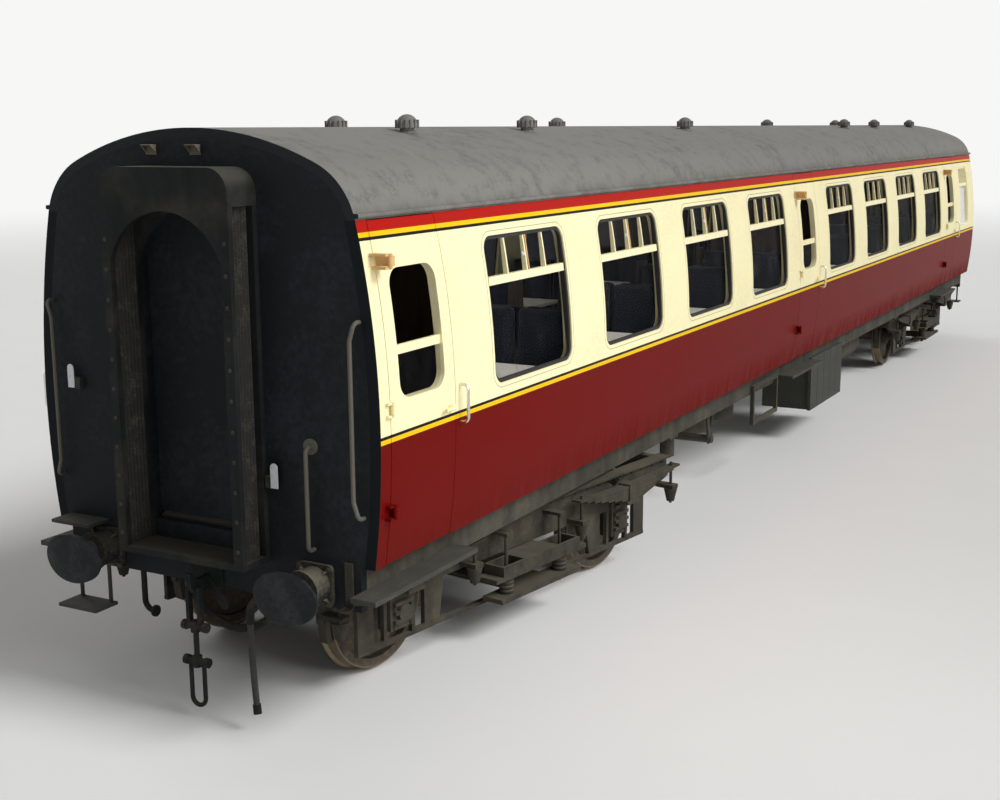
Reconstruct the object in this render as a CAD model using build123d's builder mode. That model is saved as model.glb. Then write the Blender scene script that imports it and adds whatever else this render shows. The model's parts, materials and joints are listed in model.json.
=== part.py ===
"""Main-line passenger coach: open saloons on a steel underframe and two swivelling bogies.

Millimetres. +X runs along the coach, the end that carries the hanging brake hose lies at -X,
+Z is up, and the origin is under the middle of the coach at the bottom of the wheel flanges.
"Front" is the side at -Y, "back" the side at +Y, "near" the end at -X and "far" the end at +X.
"""
from build123d import *
import os
from math import radians, sqrt, tan

os.makedirs("parts", exist_ok=True)

# Body shell
body_length = 19660
body_width = 2742
widest_z = 2002
side_radius = 5770
sole_z = 1166
cantrail_z = 3283
roof_top_z = 3821
crown_radius = 2300
wall = 75
roof_wall = 60
roof_seams = (420, 900)
end_wall = 60
gutter_z = 3308
gutter_reach = 24
gutter_height = 28
gutter_corner = 10
floor_thickness = 104
fit = 0.5

# Windows and bays
bay_pitch = 1847
bays_per_saloon = 4
saloon_first_bay = (-7789, 696)
window_width = 1215
window_bottom = 2085
window_top = 3090
window_corner = 100
transom_z = 2785
transom_height = 56
frame_bar = 26
frame_inset = 12
toplight_bar = 18
toplight_shares = (0.25, 0.5, 0.75)
glass_inset = 30
glass_thickness = 8
lavatory_window_x = 8900
lavatory_window_width = 720

# Passenger doors: centre of each doorway along the coach
door_x = (-9330, -773, 7700)
door_width = 770
door_thickness = 60
door_gap = 6
jamb_lap = 45
hinge_offset = 20
hinge_z = (1520, 2155, 3043)
hinge_height = 60
hinge_reach = 50
hinge_arm = 14
hinge_play = 2
knuckle_radius = 16
hinge_pin_radius = 8
pin_play = 0.3
bite = 30
door_window_width = 530
door_window_bottom = 2193
door_window_top = 2985
door_window_corner = 110
door_head_joint_z = 2850
droplight_rail_z = 2493
droplight_rail_height = 58
droplight_rail_thickness = 20
lock_z = 2043
lock_setback = 75
lock_radius = 24
lock_reach = 34
grip_length = 120
grip_size = 18
grab_low_z = 1924
grab_high_z = 2174
grab_standoff = 62
grab_radius = 11
grab_setback = 58
grab_bend = 35

# Handrails on the end walls: distance from the middle and height of each bend
end_rail_y = (1240, 1240, 1205, 1205, 1240, 1240)
end_rail_z = (1492, 1492, 1600, 2580, 2690, 2690)
end_rail_standoff = 60
end_rail_radius = 14
stand_rod_y = 860
stand_rod_z = (1898, 1898, 1242, 1242)
stand_rod_boss = 50

# Rooms inside
lavatory_bay_share = 0.58
partition = 40
aisle_doorway = 700
aisle_doorway_height = 1950
lavatory_corridor = 1050
lavatory_wall_height = 2370
seat_inner_y = 250
seat_wall_gap = 4
seat_depth = 600
seat_plinth = 430
cushion_z = 420
cushion_thickness = 130
seat_back_height = 1170
seat_back_top = 120
seat_back_foot = 190
table_width = 620
table_inner_y = 400
table_top_z = 2062
table_thickness = 28
table_leg = 60

# Underframe
solebar_y = 1205
solebar_depth = 215
solebar_flange = 90
solebar_web = 16
headstock_depth = 286
headstock_thickness = 60
jack_pad_x = 4600
jack_pad_length = 200
jack_pad_thickness = 24
bearer_width = 110
bearer_depth = 120
bearer_x = (-5000, -3000, -1000, 1000, 3000, 5000)
bolster_beam_width = 320
bolster_beam_depth = 176
footboard_y = 1390
footboard_thickness = 32
footboard_z = 1000
footboard_length = 1250
bracket_inset = 40
bracket_plate = 14
bracket_drop = 30
end_step_y = (855, 1200)
end_step_z = 1202
end_step_reach = 190
end_step_thickness = 22
hung_step_z = 600
hung_step_reach = 210

# Gangways
gangway_reach = 270
gangway_half = 510
gangway_bottom = 1113
gangway_top = 3588
gangway_corner = 150
gangway_plate = 40
gangway_hood_z = 3358
passage_half = 440
passage_sill = 1153
passage_spring = 3010
passage_top = 3324
bellows_set = 30
bellows_wall = 35
end_door_half = 470
end_door_bottom = 1312
end_door_top = 3340
end_door_thickness = 40
end_door_gap = 6
end_door_pin = 12
end_door_pin_length = 30
end_door_bracket = 20
end_door_bracket_width = 52

# Buffing and draw gear
buffer_y = 870
buffer_z = 1022
buffer_face = 367
buffer_head_width = 480
buffer_head_height = 330
buffer_head_thickness = 46
buffer_dome = 900
buffer_base = 270
buffer_base_corner = 34
buffer_base_thickness = 26
buffer_housing_radius = 118
buffer_housing_length = 150
buffer_shank_radius = 82
buffer_collar = 22
buffer_gussets = 4
buffer_gusset_plate = 18
buffer_gusset_share = 0.6
hook_pin_reach = 155
hook_pin_z = 890
hook_half = 20
hook_plate_half = 130
hook_plate_thickness = 20
hook_nose_reach = 205
hook_depth = 60
hook_throat = 90
hook_lever_middle = (70, 848)
hook_lever_length = 223
hook_lever_width = 60
hook_lever_angle = -44
coupling_pin_radius = 16
coupling_link_y = 45
coupling_link_width = 40
coupling_link_thickness = 26
coupling_screw_radius = 18
coupling_trunnion_radius = 24
coupling_trunnion_half = 84
coupling_boss_radius = 33
coupling_boss_height = 74
coupling_boss_length = 30
upper_trunnion_z = 640
lower_trunnion_z = 400
shackle_half = 55
shackle_rod = 15
shackle_bend_z = 150

# Brake pipe and hanging hose
pipe_radius = 28
pipe_y = 425
pipe_tail = 130
pipe_nose = 120
pipe_bend = 70
pipe_mouth_z = 720
heating_y = 600
heating_end_y = 510
heating_z = 600
heating_radius = 20
heating_flange = 16
droop_y = (560, 180, -200)
droop_z = 600
hose_diameter = 42
hose_points = (
    (-9950, -425, 720),
    (-9950, -425, 625),
    (-9953, -430, 515),
    (-9960, -443, 395),
    (-9967, -455, 285),
    (-9976, -470, 190),
)
hose_fit_length = 62
hose_fit_radius = 27
hose_mouth_radius = 17
hose_mouth_depth = 34

# Bogies: place along the coach and angle at which each one stands
bogie_x = 7210
bogie_yaw = {"near": -9, "far": 0}
half_wheelbase = 1410
tread_radius = 457
tread_cone = 4
flange_depth = 28
axle_z = tread_radius + flange_depth
axle_radius = 85
hub_radius = 140
hub_inner_y = 620
hub_outer_y = 820
rim_inner_radius = 390
wheel_inner_y = 680
wheel_outer_y = 807
flange_width = 32
web_inner_y = 718
web_outer_y = 748
journal_radius = 65
journal_end_y = 1020
frame_y = 1000
frame_plate = 36
frame_top = 890
frame_half_length = 2230
frame_end_bottom = 700
frame_waist = 610
frame_slope = 60
horn_bottom = 290
horn_half_gap = 130
horn_width = 300
horn_slot_width = 105
horn_slot_height = 300
horn_slot_corner = 18
horn_cheek = 34
gusset_length = 330
gusset_height = 120
flange_plate = 16
flange_plate_width = 140
end_beam_width = 80
end_beam_depth = 170
transom_x = 430
transom_width = 110
transom_bottom = 640
transom_depth = 210
axlebox_half = 125
axlebox_inner_y = 925
axlebox_outer_y = 1046
axlebox_bottom = 365
axlebox_top = 690
axlebox_rib = 26
axlebox_rib_reach = 30
axlebox_rib_half = 100
axlebox_ribs = 4
axlebox_lid_radius = 62
axlebox_lid_reach = 16
spring_seat_thickness = 30
spring_seat_half = 90
leaf_inner_y = 1085
leaf_outer_y = 1175
leaf_count = 7
leaf_thickness = 17
leaf_step = 105
leaf_set_in = 4
leaf_half_span = 790
leaf_middle_top = 820
leaf_camber = 30
buckle_half = 62
buckle_wall = 14
hanger_x = 710
hanger_radius = 13
hanger_play = 2
hanger_cap = 30
hanger_cap_height = 26
hanger_bottom = 500
hanger_bracket_z = 655
hanger_bracket_depth = 34
hanger_bracket_half = 48
cone_top_radius = 62
cone_bottom_radius = 34
cone_height = 120
bolster_half = 200
bolster_bottom = 490
bolster_top = 600
bolster_seat_half = 590
bolster_seat_inner_y = 1060
bolster_seat_outer_y = 1250
bolster_seat_thickness = 34
bolster_box_half = 150
bolster_box_wall = 22
pivot_seat_half = 430
pivot_seat_top = 872
pivot_radius = 150
pivot_pin_radius = 60
pivot_pin_depth = 120
pivot_play = 0.4
coil_x = 350
coil_y = 1155
coil_radius = 48
coil_wire = 13
coil_turns = 4
plank_top = 350
plank_thickness = 36
plank_half = 210
plank_end_half = 520
link_top = 800
link_bottom = 262
link_lug_half = 40
link_nut = 26
link_nut_height = 24
tie_bar_half = 22
tie_bar_depth = 26
shoe_gap = 11
shoe_thickness = 46
shoe_inner_y = 722
shoe_outer_y = 800
shoe_half_height = 150
shoe_hanger_half = 24
shoe_hanger_thickness = 28
shoe_hanger_z = 780
shoe_pin_radius = 20

# Roof ventilators: place along the coach, and side of the crown
ventilators = (
    (-7980, -1),
    (-7636, 1),
    (-6109, -1),
    (-3787, 1),
    (-2449, -1),
    (3083, 1),
    (4055, -1),
    (5886, -1),
    (6771, 1),
    (8421, -1),
)
ventilator_y = 430
ventilator_neck = 52
ventilator_foot = 78
ventilator_cap = 80
ventilator_visor = 16
ventilator_height = 128

# Equipment under the floor
battery_x = (-120, 1300)
battery_bottom = 369
battery_top = 1025
battery_inner_y = 620
battery_front_y = 1206
battery_front = 40
battery_planks = 5
battery_groove = 8
battery_strap = 50
v_hanger_x = -3300
v_hanger_y = 1080
v_hanger_half = 170
v_hanger_bottom = 600
v_hanger_bar = 42
shaft_radius = 40
shaft_collar_radius = 58
shaft_collar = 120
cylinder_x = (-2500, -1700)
cylinder_y = -520
cylinder_radius = 265
cylinder_bottom = 520
cylinder_round = 70
reservoir_x = (1700, 3500)
reservoir_y = 700
reservoir_radius = 255
reservoir_z = 740
reservoir_round = 110
reservoir_strap = 50
reservoir_strap_inset = 200
guard_x = (-2350, -1480)
guard_z = (617, 1050)
guard_bar = 42
guard_depth = 40
pot_x = -4000
pot_y = -900
pot_z = (600, 785)
pot_radius = 72
pot_neck = 40

half_body = body_length / 2
floor_z = sole_z + floor_thickness
hinge_y = body_width / 2 + hinge_offset
SIDES = {"front": -1, "back": 1}
ENDS = {"near": -1, "far": 1}


def save(piece, name):
    """Label a finished piece and write it as one file."""
    piece.label = name
    export_step(piece, f"parts/{name}.step")


def half_width(z, inset=0):
    """Half the body's width at a height, measured to a face set in from the outside."""
    return body_width / 2 - side_radius + sqrt((side_radius - inset) ** 2 - (z - widest_z) ** 2)


def side_arc(side, inset, low, high):
    """Arc of the swept side between two heights, drawn in (y, z)."""
    heights = (low, (low + high) / 2, high)
    return ThreePointArc(*[(side * half_width(z, inset), z) for z in heights])


def wall_section(side, inset, thickness, low, high):
    """Closed strip of the curved side wall, drawn in (y, z)."""
    with BuildLine() as outline:
        outer = side_arc(side, inset, low, high)
        inner = side_arc(side, inset + thickness, low, high)
        Line(outer @ 0, inner @ 0)
        Line(outer @ 1, inner @ 1)
    make_face(outline.edges())


# The roof is a flat crown arc that runs tangent into two shoulders, which run tangent into the sides.
eaves = Vector(half_width(cantrail_z), cantrail_z)
side_centre = Vector(body_width / 2 - side_radius, widest_z)
crown_centre = Vector(0, roof_top_z - crown_radius)
inward = (side_centre - eaves).normalized()
reach = eaves - crown_centre
shoulder_radius = (crown_radius**2 - reach.length**2) / (2 * (reach.dot(inward) + crown_radius))
shoulder_centre = eaves + inward * shoulder_radius
tangent_way = (shoulder_centre - crown_centre).normalized()


def roof_height(y, inset=0):
    """Height of the crown arc above a point beside the middle."""
    return crown_centre.Y + sqrt((crown_radius - inset) ** 2 - y**2)


def roof_half(inset):
    """Half of the roof's outline from the cantrail to the crown, drawn in (y, z)."""
    shoulder = shoulder_radius - inset
    rise = cantrail_z - shoulder_centre.Y
    start = Vector(shoulder_centre.X + sqrt(shoulder**2 - rise**2), cantrail_z)
    halfway = ((start - shoulder_centre).normalized() + tangent_way).normalized()
    join = crown_centre + tangent_way * (crown_radius - inset)
    crown_halfway = (tangent_way + Vector(0, 1)).normalized()
    top = crown_centre + Vector(0, crown_radius - inset)
    ThreePointArc(start, shoulder_centre + halfway * shoulder, join)
    ThreePointArc(join, crown_centre + crown_halfway * (crown_radius - inset), top)
    return start, top


def half_roof_face(inset, mode):
    """Half of the room under the roof, above the cantrail."""
    with BuildLine() as outline:
        start, top = roof_half(inset)
        Polyline(start, (0, cantrail_z), top)
    make_face(outline.edges(), mode=mode)


def room_face(bottom):
    """Cross-section of the room inside walls and roof, drawn in (y, z)."""
    with BuildLine() as outline:
        rise = side_arc(1, wall + fit, bottom, cantrail_z)
        start, top = roof_half(roof_wall + fit)
        Line(rise @ 1, start)
        Polyline(rise @ 0, (0, bottom), top)
    make_face(outline.edges())
    mirror(about=Plane.YZ)


def arched_face(half, bottom, spring, top, mode=Mode.ADD):
    """Doorway with an arched head, drawn in (y, z)."""
    with BuildLine() as outline:
        Polyline((-half, spring), (-half, bottom), (half, bottom), (half, spring))
        ThreePointArc((half, spring), (0, top), (-half, spring))
    make_face(outline.edges(), mode=mode)


def hinge_x(side, centre):
    """Hinge line of a doorway: at its left as seen from outside."""
    return centre + side * door_width / 2


bay_x = [first + bay_pitch * i for first in saloon_first_bay for i in range(bays_per_saloon)]
saloon_ends = [
    (first - bay_pitch / 2, first + bay_pitch * (bays_per_saloon - 0.5)) for first in saloon_first_bay
]

# Roof: a crown sheet and two shoulder sheets a side, butted along the coach, with gutters over the doors
with BuildPart() as roof:
    with BuildSketch(Plane.YZ.offset(-half_body)):
        half_roof_face(0, Mode.ADD)
        half_roof_face(roof_wall, Mode.SUBTRACT)
        mirror(about=Plane.YZ)
        for side in (-1, 1):
            with Locations((side * eaves.X, gutter_z)):
                RectangleRounded(2 * gutter_reach, gutter_height, gutter_corner)
    extrude(amount=body_length)
    for seam in roof_seams:
        with GridLocations(0, 2 * seam, 1, 2):
            Box(body_length, fit, 2 * roof_top_z, mode=Mode.SUBTRACT)
save(roof.part, "roof")


def window_holes(side, clearance=0):
    """Sketch of all the window openings of one side, drawn in (x, z)."""
    height = window_top - window_bottom - 2 * clearance
    middle = (window_top + window_bottom) / 2
    for x in bay_x:
        with Locations((x, middle)):
            RectangleRounded(window_width - 2 * clearance, height, window_corner - clearance)
    with Locations((lavatory_window_x, middle)):
        RectangleRounded(lavatory_window_width - 2 * clearance, height, window_corner - clearance)


# Side walls: four panels each, parted by the doorways; a jamb follows the door's swing at the lock side
for name, side in SIDES.items():
    doors = sorted(door_x, reverse=side < 0)
    far_edge = -side * half_body
    with BuildPart() as side_wall:
        for centre in doors:
            pivot = hinge_x(side, centre)
            jamb = pivot - side * (door_width - jamb_lap)
            with BuildSketch(Plane.YZ.offset(jamb)):
                wall_section(side, 0, wall, sole_z, cantrail_z)
            extrude(amount=far_edge - jamb)
            with Locations((pivot, side * hinge_y, sole_z)):
                Cylinder(
                    door_width + door_gap,
                    2 * body_width,
                    align=(Align.CENTER, Align.CENTER, Align.CENTER),
                    mode=Mode.SUBTRACT,
                )
            far_edge = pivot + side * door_gap / 2
        with BuildSketch(Plane.YZ.offset(side * half_body)):
            wall_section(side, 0, wall, sole_z, cantrail_z)
        extrude(amount=far_edge - side * half_body)
        with BuildSketch(Plane.XZ):
            window_holes(side)
        extrude(amount=-side * body_width, mode=Mode.SUBTRACT)
        for centre in doors:
            pivot = hinge_x(side, centre)
            arm_x = pivot + side * (hinge_reach + door_gap) / 2
            for z in hinge_z:
                inner = half_width(z) - bite
                for step in (-1, 1):
                    arm_z = z + step * (hinge_height / 2 + hinge_play + hinge_arm / 2)
                    with Locations((arm_x, side * (inner + hinge_y) / 2, arm_z)):
                        Box(hinge_reach, hinge_y - inner, hinge_arm)
                    with Locations((pivot, side * hinge_y, arm_z)):
                        Cylinder(knuckle_radius - hinge_play, hinge_arm)
                with Locations((pivot, side * hinge_y, z)):
                    Cylinder(hinge_pin_radius, hinge_height + 2 * (hinge_play + hinge_arm))
    save(side_wall.part, f"side_{name}")

# Passenger doors: full-height leaves with a jointed head, each with its window lowered behind a rail
for name, side in SIDES.items():
    for number, centre in enumerate(door_x, 1):
        pivot = hinge_x(side, centre)
        swing = -side
        with BuildPart() as leaf:
            with BuildSketch(Plane.YZ.offset(pivot + swing * door_gap / 2)):
                wall_section(side, 0, door_thickness, sole_z + door_gap, cantrail_z - door_gap)
            extrude(amount=swing * door_width)
            with Locations((pivot, side * hinge_y, sole_z)):
                Cylinder(door_width, 2 * body_width, mode=Mode.INTERSECT)
            with BuildSketch(Plane.XZ):
                with Locations((centre, (door_window_bottom + door_window_top) / 2)):
                    height = door_window_top - door_window_bottom
                    RectangleRounded(door_window_width, height, door_window_corner)
            extrude(amount=-side * body_width, mode=Mode.SUBTRACT)
            with Locations((centre, side * hinge_y, door_head_joint_z)):
                Box(2 * door_width, body_width / 2, fit, mode=Mode.SUBTRACT)
            rail_y = half_width(droplight_rail_z) - door_thickness / 2
            with Locations((centre, side * rail_y, droplight_rail_z)):
                Box(door_window_width, droplight_rail_thickness, droplight_rail_height)
            for z in hinge_z:
                inner = half_width(z) - bite
                with Locations((pivot + swing * hinge_reach / 2, side * (inner + hinge_y) / 2, z)):
                    Box(hinge_reach, hinge_y - inner, hinge_height)
                with Locations((pivot, side * hinge_y, z)):
                    Cylinder(knuckle_radius, hinge_height)
                with Locations((pivot, side * hinge_y, z)):
                    Cylinder(hinge_pin_radius + pin_play, hinge_height, mode=Mode.SUBTRACT)
            lock_x = pivot + swing * (door_width - lock_setback)
            lock_y = half_width(lock_z)
            with Locations((lock_x, side * lock_y, lock_z)):
                Cylinder(lock_radius, 2 * lock_reach, rotation=(90, 0, 0))
            with Locations((lock_x - swing * grip_length / 3, side * (lock_y + lock_reach), lock_z)):
                Box(grip_length, grip_size, grip_size)
        save(leaf.part, f"door_{name}_{number}")

        pane_low = door_window_bottom + fit
        pane_high = droplight_rail_z - droplight_rail_height / 2 - fit
        with BuildPart() as pane:
            with BuildSketch(Plane.YZ.offset(centre - door_window_width / 2)):
                pane_faces = [(door_thickness + step * glass_thickness) / 2 for step in (-1, 1)]
                with BuildLine():
                    Polyline(
                        *[(side * half_width(pane_low, inset), pane_low) for inset in pane_faces],
                        *[(side * half_width(pane_high, inset), pane_high) for inset in pane_faces[::-1]],
                        close=True,
                    )
                make_face()
            extrude(amount=door_window_width)
            with BuildSketch(Plane.XZ):
                with Locations((centre, (door_window_bottom + door_window_top) / 2)):
                    height = door_window_top - door_window_bottom - 2 * fit
                    RectangleRounded(door_window_width - 2 * fit, height, door_window_corner - fit)
            extrude(amount=-side * body_width, mode=Mode.INTERSECT)
        save(pane.part, f"door_{name}_{number}_glass")

# Grab handles beside the doors, at the lock side, and the handrails of the end walls
with BuildPart() as grab_handles:
    for side in SIDES.values():
        for centre in door_x:
            x = hinge_x(side, centre) - side * (door_width + grab_setback)
            out = side * (body_width / 2 + grab_standoff)
            foot_low = side * (half_width(grab_low_z) - fit)
            foot_high = side * (half_width(grab_high_z) - fit)
            with BuildLine() as bar:
                FilletPolyline(
                    (x, foot_low, grab_low_z),
                    (x, out, grab_low_z),
                    (x, out, grab_high_z),
                    (x, foot_high, grab_high_z),
                    radius=grab_bend,
                )
            with BuildSketch(Plane(origin=bar.line @ 0, z_dir=bar.line % 0)):
                Circle(grab_radius)
            sweep(path=bar.line)
    with BuildSketch(Plane.YZ.offset(-half_body)):
        for side in SIDES.values():
            wall_section(side, 0, wall, sole_z, cantrail_z)
    extrude(amount=body_length, mode=Mode.SUBTRACT)
    for end in ENDS.values():
        foot_x = end * (half_body + fit)
        out_x = end * (half_body + end_rail_standoff)
        rails = [
            [(x, side * y, z) for x, y, z in zip((foot_x, *[out_x] * 4, foot_x), end_rail_y, end_rail_z)]
            for side in SIDES.values()
        ]
        rod_x = (foot_x, out_x, out_x, foot_x)
        rails.append([(x, end * stand_rod_y, z) for x, z in zip(rod_x, stand_rod_z)])
        for points in rails:
            with BuildLine() as bar:
                FilletPolyline(*points, radius=grab_bend)
            with BuildSketch(Plane(origin=bar.line @ 0, z_dir=bar.line % 0)):
                Circle(end_rail_radius)
            sweep(path=bar.line)
        with Locations((foot_x, end * stand_rod_y, stand_rod_z[0])):
            Cylinder(
                stand_rod_boss,
                end_rail_radius,
                rotation=(0, end * 90, 0),
                align=(Align.CENTER, Align.CENTER, Align.MIN),
            )
save(grab_handles.part, "grab_handles")

# Window frames with their transoms and toplight bars, and the panes behind them
for kind in ("frames", "glass"):
    with BuildPart() as windows:
        for side in SIDES.values():
            low_y = half_width(window_bottom, glass_inset)
            high_y = half_width(window_top, glass_inset)
            with BuildSketch(Plane.YZ.offset(-half_body)):
                if kind == "frames":
                    with BuildLine():
                        face = side_arc(side, frame_inset, window_bottom, window_top)
                        back = Line((side * low_y, window_bottom), (side * high_y, window_top))
                        Line(face @ 0, back @ 0)
                        Line(face @ 1, back @ 1)
                    make_face()
                else:
                    set_y = fit
                    with BuildLine():
                        Polyline(
                            (side * (low_y - set_y), window_bottom),
                            (side * (high_y - set_y), window_top),
                            (side * (high_y - set_y - glass_thickness), window_top),
                            (side * (low_y - set_y - glass_thickness), window_bottom),
                            close=True,
                        )
                    make_face()
            extrude(amount=body_length)
        with BuildSketch(Plane.XZ) as outline:
            window_holes(-1, fit)
            if kind == "frames":
                ring_middle = (window_top + window_bottom) / 2
                ring_height = window_top - window_bottom - 2 * (fit + frame_bar)
                top_low = transom_z + transom_height / 2
                top_high = window_top - fit - frame_bar / 2
                for x in bay_x + [lavatory_window_x]:
                    wide = lavatory_window_width if x == lavatory_window_x else window_width
                    inner_wide = wide - 2 * (fit + frame_bar)
                    with Locations((x, ring_middle)):
                        RectangleRounded(
                            inner_wide, ring_height, window_corner - fit - frame_bar, mode=Mode.SUBTRACT
                        )
                    with Locations((x, transom_z)):
                        Rectangle(inner_wide + frame_bar, transom_height)
                    for share in toplight_shares:
                        with Locations((x + inner_wide * (share - 0.5), (top_low + top_high) / 2)):
                            Rectangle(toplight_bar, top_high - top_low)
        extrude(amount=body_width, both=True, mode=Mode.INTERSECT)
    save(windows.part, f"window_{kind}")

# End walls with the gangway doorways and the brackets of the end doors
with BuildPart() as end_walls:
    for end in ENDS.values():
        with BuildSketch(Plane.YZ.offset(end * half_body)):
            room_face(sole_z)
            arched_face(passage_half, floor_z, passage_spring, passage_top, Mode.SUBTRACT)
        extrude(amount=-end * end_wall)
        hinge_at = -end * (end_door_half + end_door_thickness / 4)
        inner_x = end * (half_body - end_wall)
        pin_x = inner_x - end * (end_door_gap + end_door_thickness / 2)
        bracket_depth = end_door_gap + end_door_thickness
        for z in (end_door_bottom - end_door_bracket, end_door_top + end_door_bracket):
            with Locations((inner_x - end * bracket_depth / 2, hinge_at, z)):
                Box(bracket_depth, end_door_bracket_width, end_door_bracket)
            with Locations((pin_x, hinge_at, z)):
                Cylinder(end_door_pin + pin_play, 2 * end_door_bracket, mode=Mode.SUBTRACT)
save(end_walls.part, "end_walls")

# End doors, hinged at one side and opening inwards
for name, end in ENDS.items():
    hinge_at = -end * (end_door_half + end_door_thickness / 4)
    pin_x = end * (half_body - end_wall - end_door_gap - end_door_thickness / 2)
    middle_z = (end_door_bottom + end_door_top) / 2
    height = end_door_top - end_door_bottom
    with BuildPart() as end_door:
        with Locations((pin_x, (hinge_at + end * end_door_half) / 2, middle_z)):
            Box(end_door_thickness, abs(hinge_at - end * end_door_half), height)
        with Locations((pin_x, hinge_at, middle_z)):
            Cylinder(end_door_thickness / 2, height)
            Cylinder(end_door_pin, height + 2 * end_door_pin_length)
    save(end_door.part, f"end_door_{name}")

# Floor
with BuildPart() as floor:
    floor_width = 2 * half_width(sole_z, wall + fit)
    with Locations((0, 0, sole_z)):
        Box(
            body_length - 2 * end_wall - 2 * fit,
            floor_width,
            floor_thickness,
            align=(Align.CENTER, Align.CENTER, Align.MIN),
        )
save(floor.part, "floor")

# Partitions across the saloons and along the lavatory corridor
partition_x = [x for pair in saloon_ends for x in pair]
partition_x.append(saloon_ends[-1][1] + bay_pitch * lavatory_bay_share)
with BuildPart() as partitions:
    for x in partition_x:
        with BuildSketch(Plane.YZ.offset(x - partition / 2)):
            room_face(floor_z)
            with Locations((0, floor_z + aisle_doorway_height / 2)):
                Rectangle(aisle_doorway, aisle_doorway_height, mode=Mode.SUBTRACT)
        extrude(amount=partition)
    corridor_start = partition_x[-1] + partition / 2
    corridor_length = half_body - end_wall - fit - corridor_start
    for step in (-1, 1):
        with Locations((corridor_start, step * (lavatory_corridor + partition) / 2, floor_z)):
            Box(
                corridor_length,
                partition,
                lavatory_wall_height,
                align=(Align.MIN, Align.CENTER, Align.MIN),
            )
save(partitions.part, "partitions")

# Seats: back to back between the bays, single against the partitions
with BuildPart() as seats:
    for start, finish in saloon_ends:
        for i in range(bays_per_saloon + 1):
            x = start + bay_pitch * i
            for side in SIDES.values():
                for way in (-1, 1):
                    at_end = (i == 0 and way < 0) or (i == bays_per_saloon and way > 0)
                    if at_end:
                        continue
                    against_wall = i in (0, bays_per_saloon)
                    back = x + way * ((partition / 2 + fit) if against_wall else 0)
                    outline_points = (
                        (0, 0),
                        (seat_plinth, 0),
                        (seat_plinth, cushion_z - cushion_thickness),
                        (seat_depth, cushion_z - cushion_thickness),
                        (seat_depth, cushion_z),
                        (seat_back_foot, cushion_z),
                        (seat_back_top, seat_back_height),
                        (0, seat_back_height),
                    )
                    with BuildSketch(Plane.XZ.offset(-side * seat_inner_y)):
                        with BuildLine():
                            placed = [(back + way * px, floor_z + pz) for px, pz in outline_points]
                            Polyline(*placed, close=True)
                        make_face()
                    extrude(amount=-side * (half_width(floor_z, wall + seat_wall_gap) - seat_inner_y))
save(seats.part, "seats")

# Tables under the windows
with BuildPart() as tables:
    for x in bay_x:
        for side in SIDES.values():
            wall_y = half_width(table_top_z - table_thickness, wall + fit)
            with Locations((x, side * (table_inner_y + wall_y) / 2, table_top_z - table_thickness / 2)):
                Box(table_width, wall_y - table_inner_y, table_thickness)
            leg_height = table_top_z - table_thickness - floor_z
            with Locations((x, side * (table_inner_y + 2 * table_leg), floor_z + leg_height / 2)):
                Box(table_leg, table_leg, leg_height)
save(tables.part, "tables")

# Solebars: channels along both sides, with pads for lifting jacks
with BuildPart() as solebars:
    for side in SIDES.values():
        with BuildSketch(Plane.YZ.offset(-half_body + headstock_thickness)):
            with Locations((side * (solebar_y - solebar_flange / 2), sole_z - solebar_depth / 2)):
                Rectangle(solebar_flange, solebar_depth)
            inner_depth = solebar_depth - 2 * solebar_web
            hollow_y = side * (solebar_y - solebar_web - solebar_flange / 2)
            with Locations((hollow_y, sole_z - solebar_depth / 2)):
                Rectangle(solebar_flange, inner_depth, mode=Mode.SUBTRACT)
        extrude(amount=body_length - 2 * headstock_thickness)
        for end in ENDS.values():
            pad_y = side * (solebar_y - solebar_flange / 2)
            with Locations((end * jack_pad_x, pad_y, sole_z - solebar_depth)):
                Box(
                    jack_pad_length,
                    solebar_flange,
                    jack_pad_thickness,
                    align=(Align.CENTER, Align.CENTER, Align.MAX),
                )
save(solebars.part, "solebars")

# Headstocks across both ends
with BuildPart() as headstocks:
    for end in ENDS.values():
        with Locations((end * (half_body - headstock_thickness / 2), 0, sole_z - headstock_depth / 2)):
            Box(headstock_thickness, 2 * solebar_y, headstock_depth)
save(headstocks.part, "headstocks")

# Cross bearers between the solebars, and the bolster beams with the bogie pivots
bearer_length = 2 * (solebar_y - solebar_flange)
with BuildPart() as cross_bearers:
    for x in bearer_x:
        with Locations((x, 0, sole_z - bearer_depth / 2)):
            Box(bearer_width, bearer_length, bearer_depth)
    for end in ENDS.values():
        with Locations((end * bogie_x, 0, sole_z - bolster_beam_depth / 2)):
            Box(bolster_beam_width, bearer_length, bolster_beam_depth)
        beam_bottom = sole_z - bolster_beam_depth
        with Locations((end * bogie_x, 0, beam_bottom)):
            Cylinder(
                pivot_radius,
                beam_bottom - pivot_seat_top - pivot_play,
                align=(Align.CENTER, Align.CENTER, Align.MAX),
            )
            Cylinder(
                pivot_pin_radius,
                beam_bottom - pivot_seat_top + pivot_pin_depth - 2 * pivot_play,
                align=(Align.CENTER, Align.CENTER, Align.MAX),
            )
save(cross_bearers.part, "cross_bearers")

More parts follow.
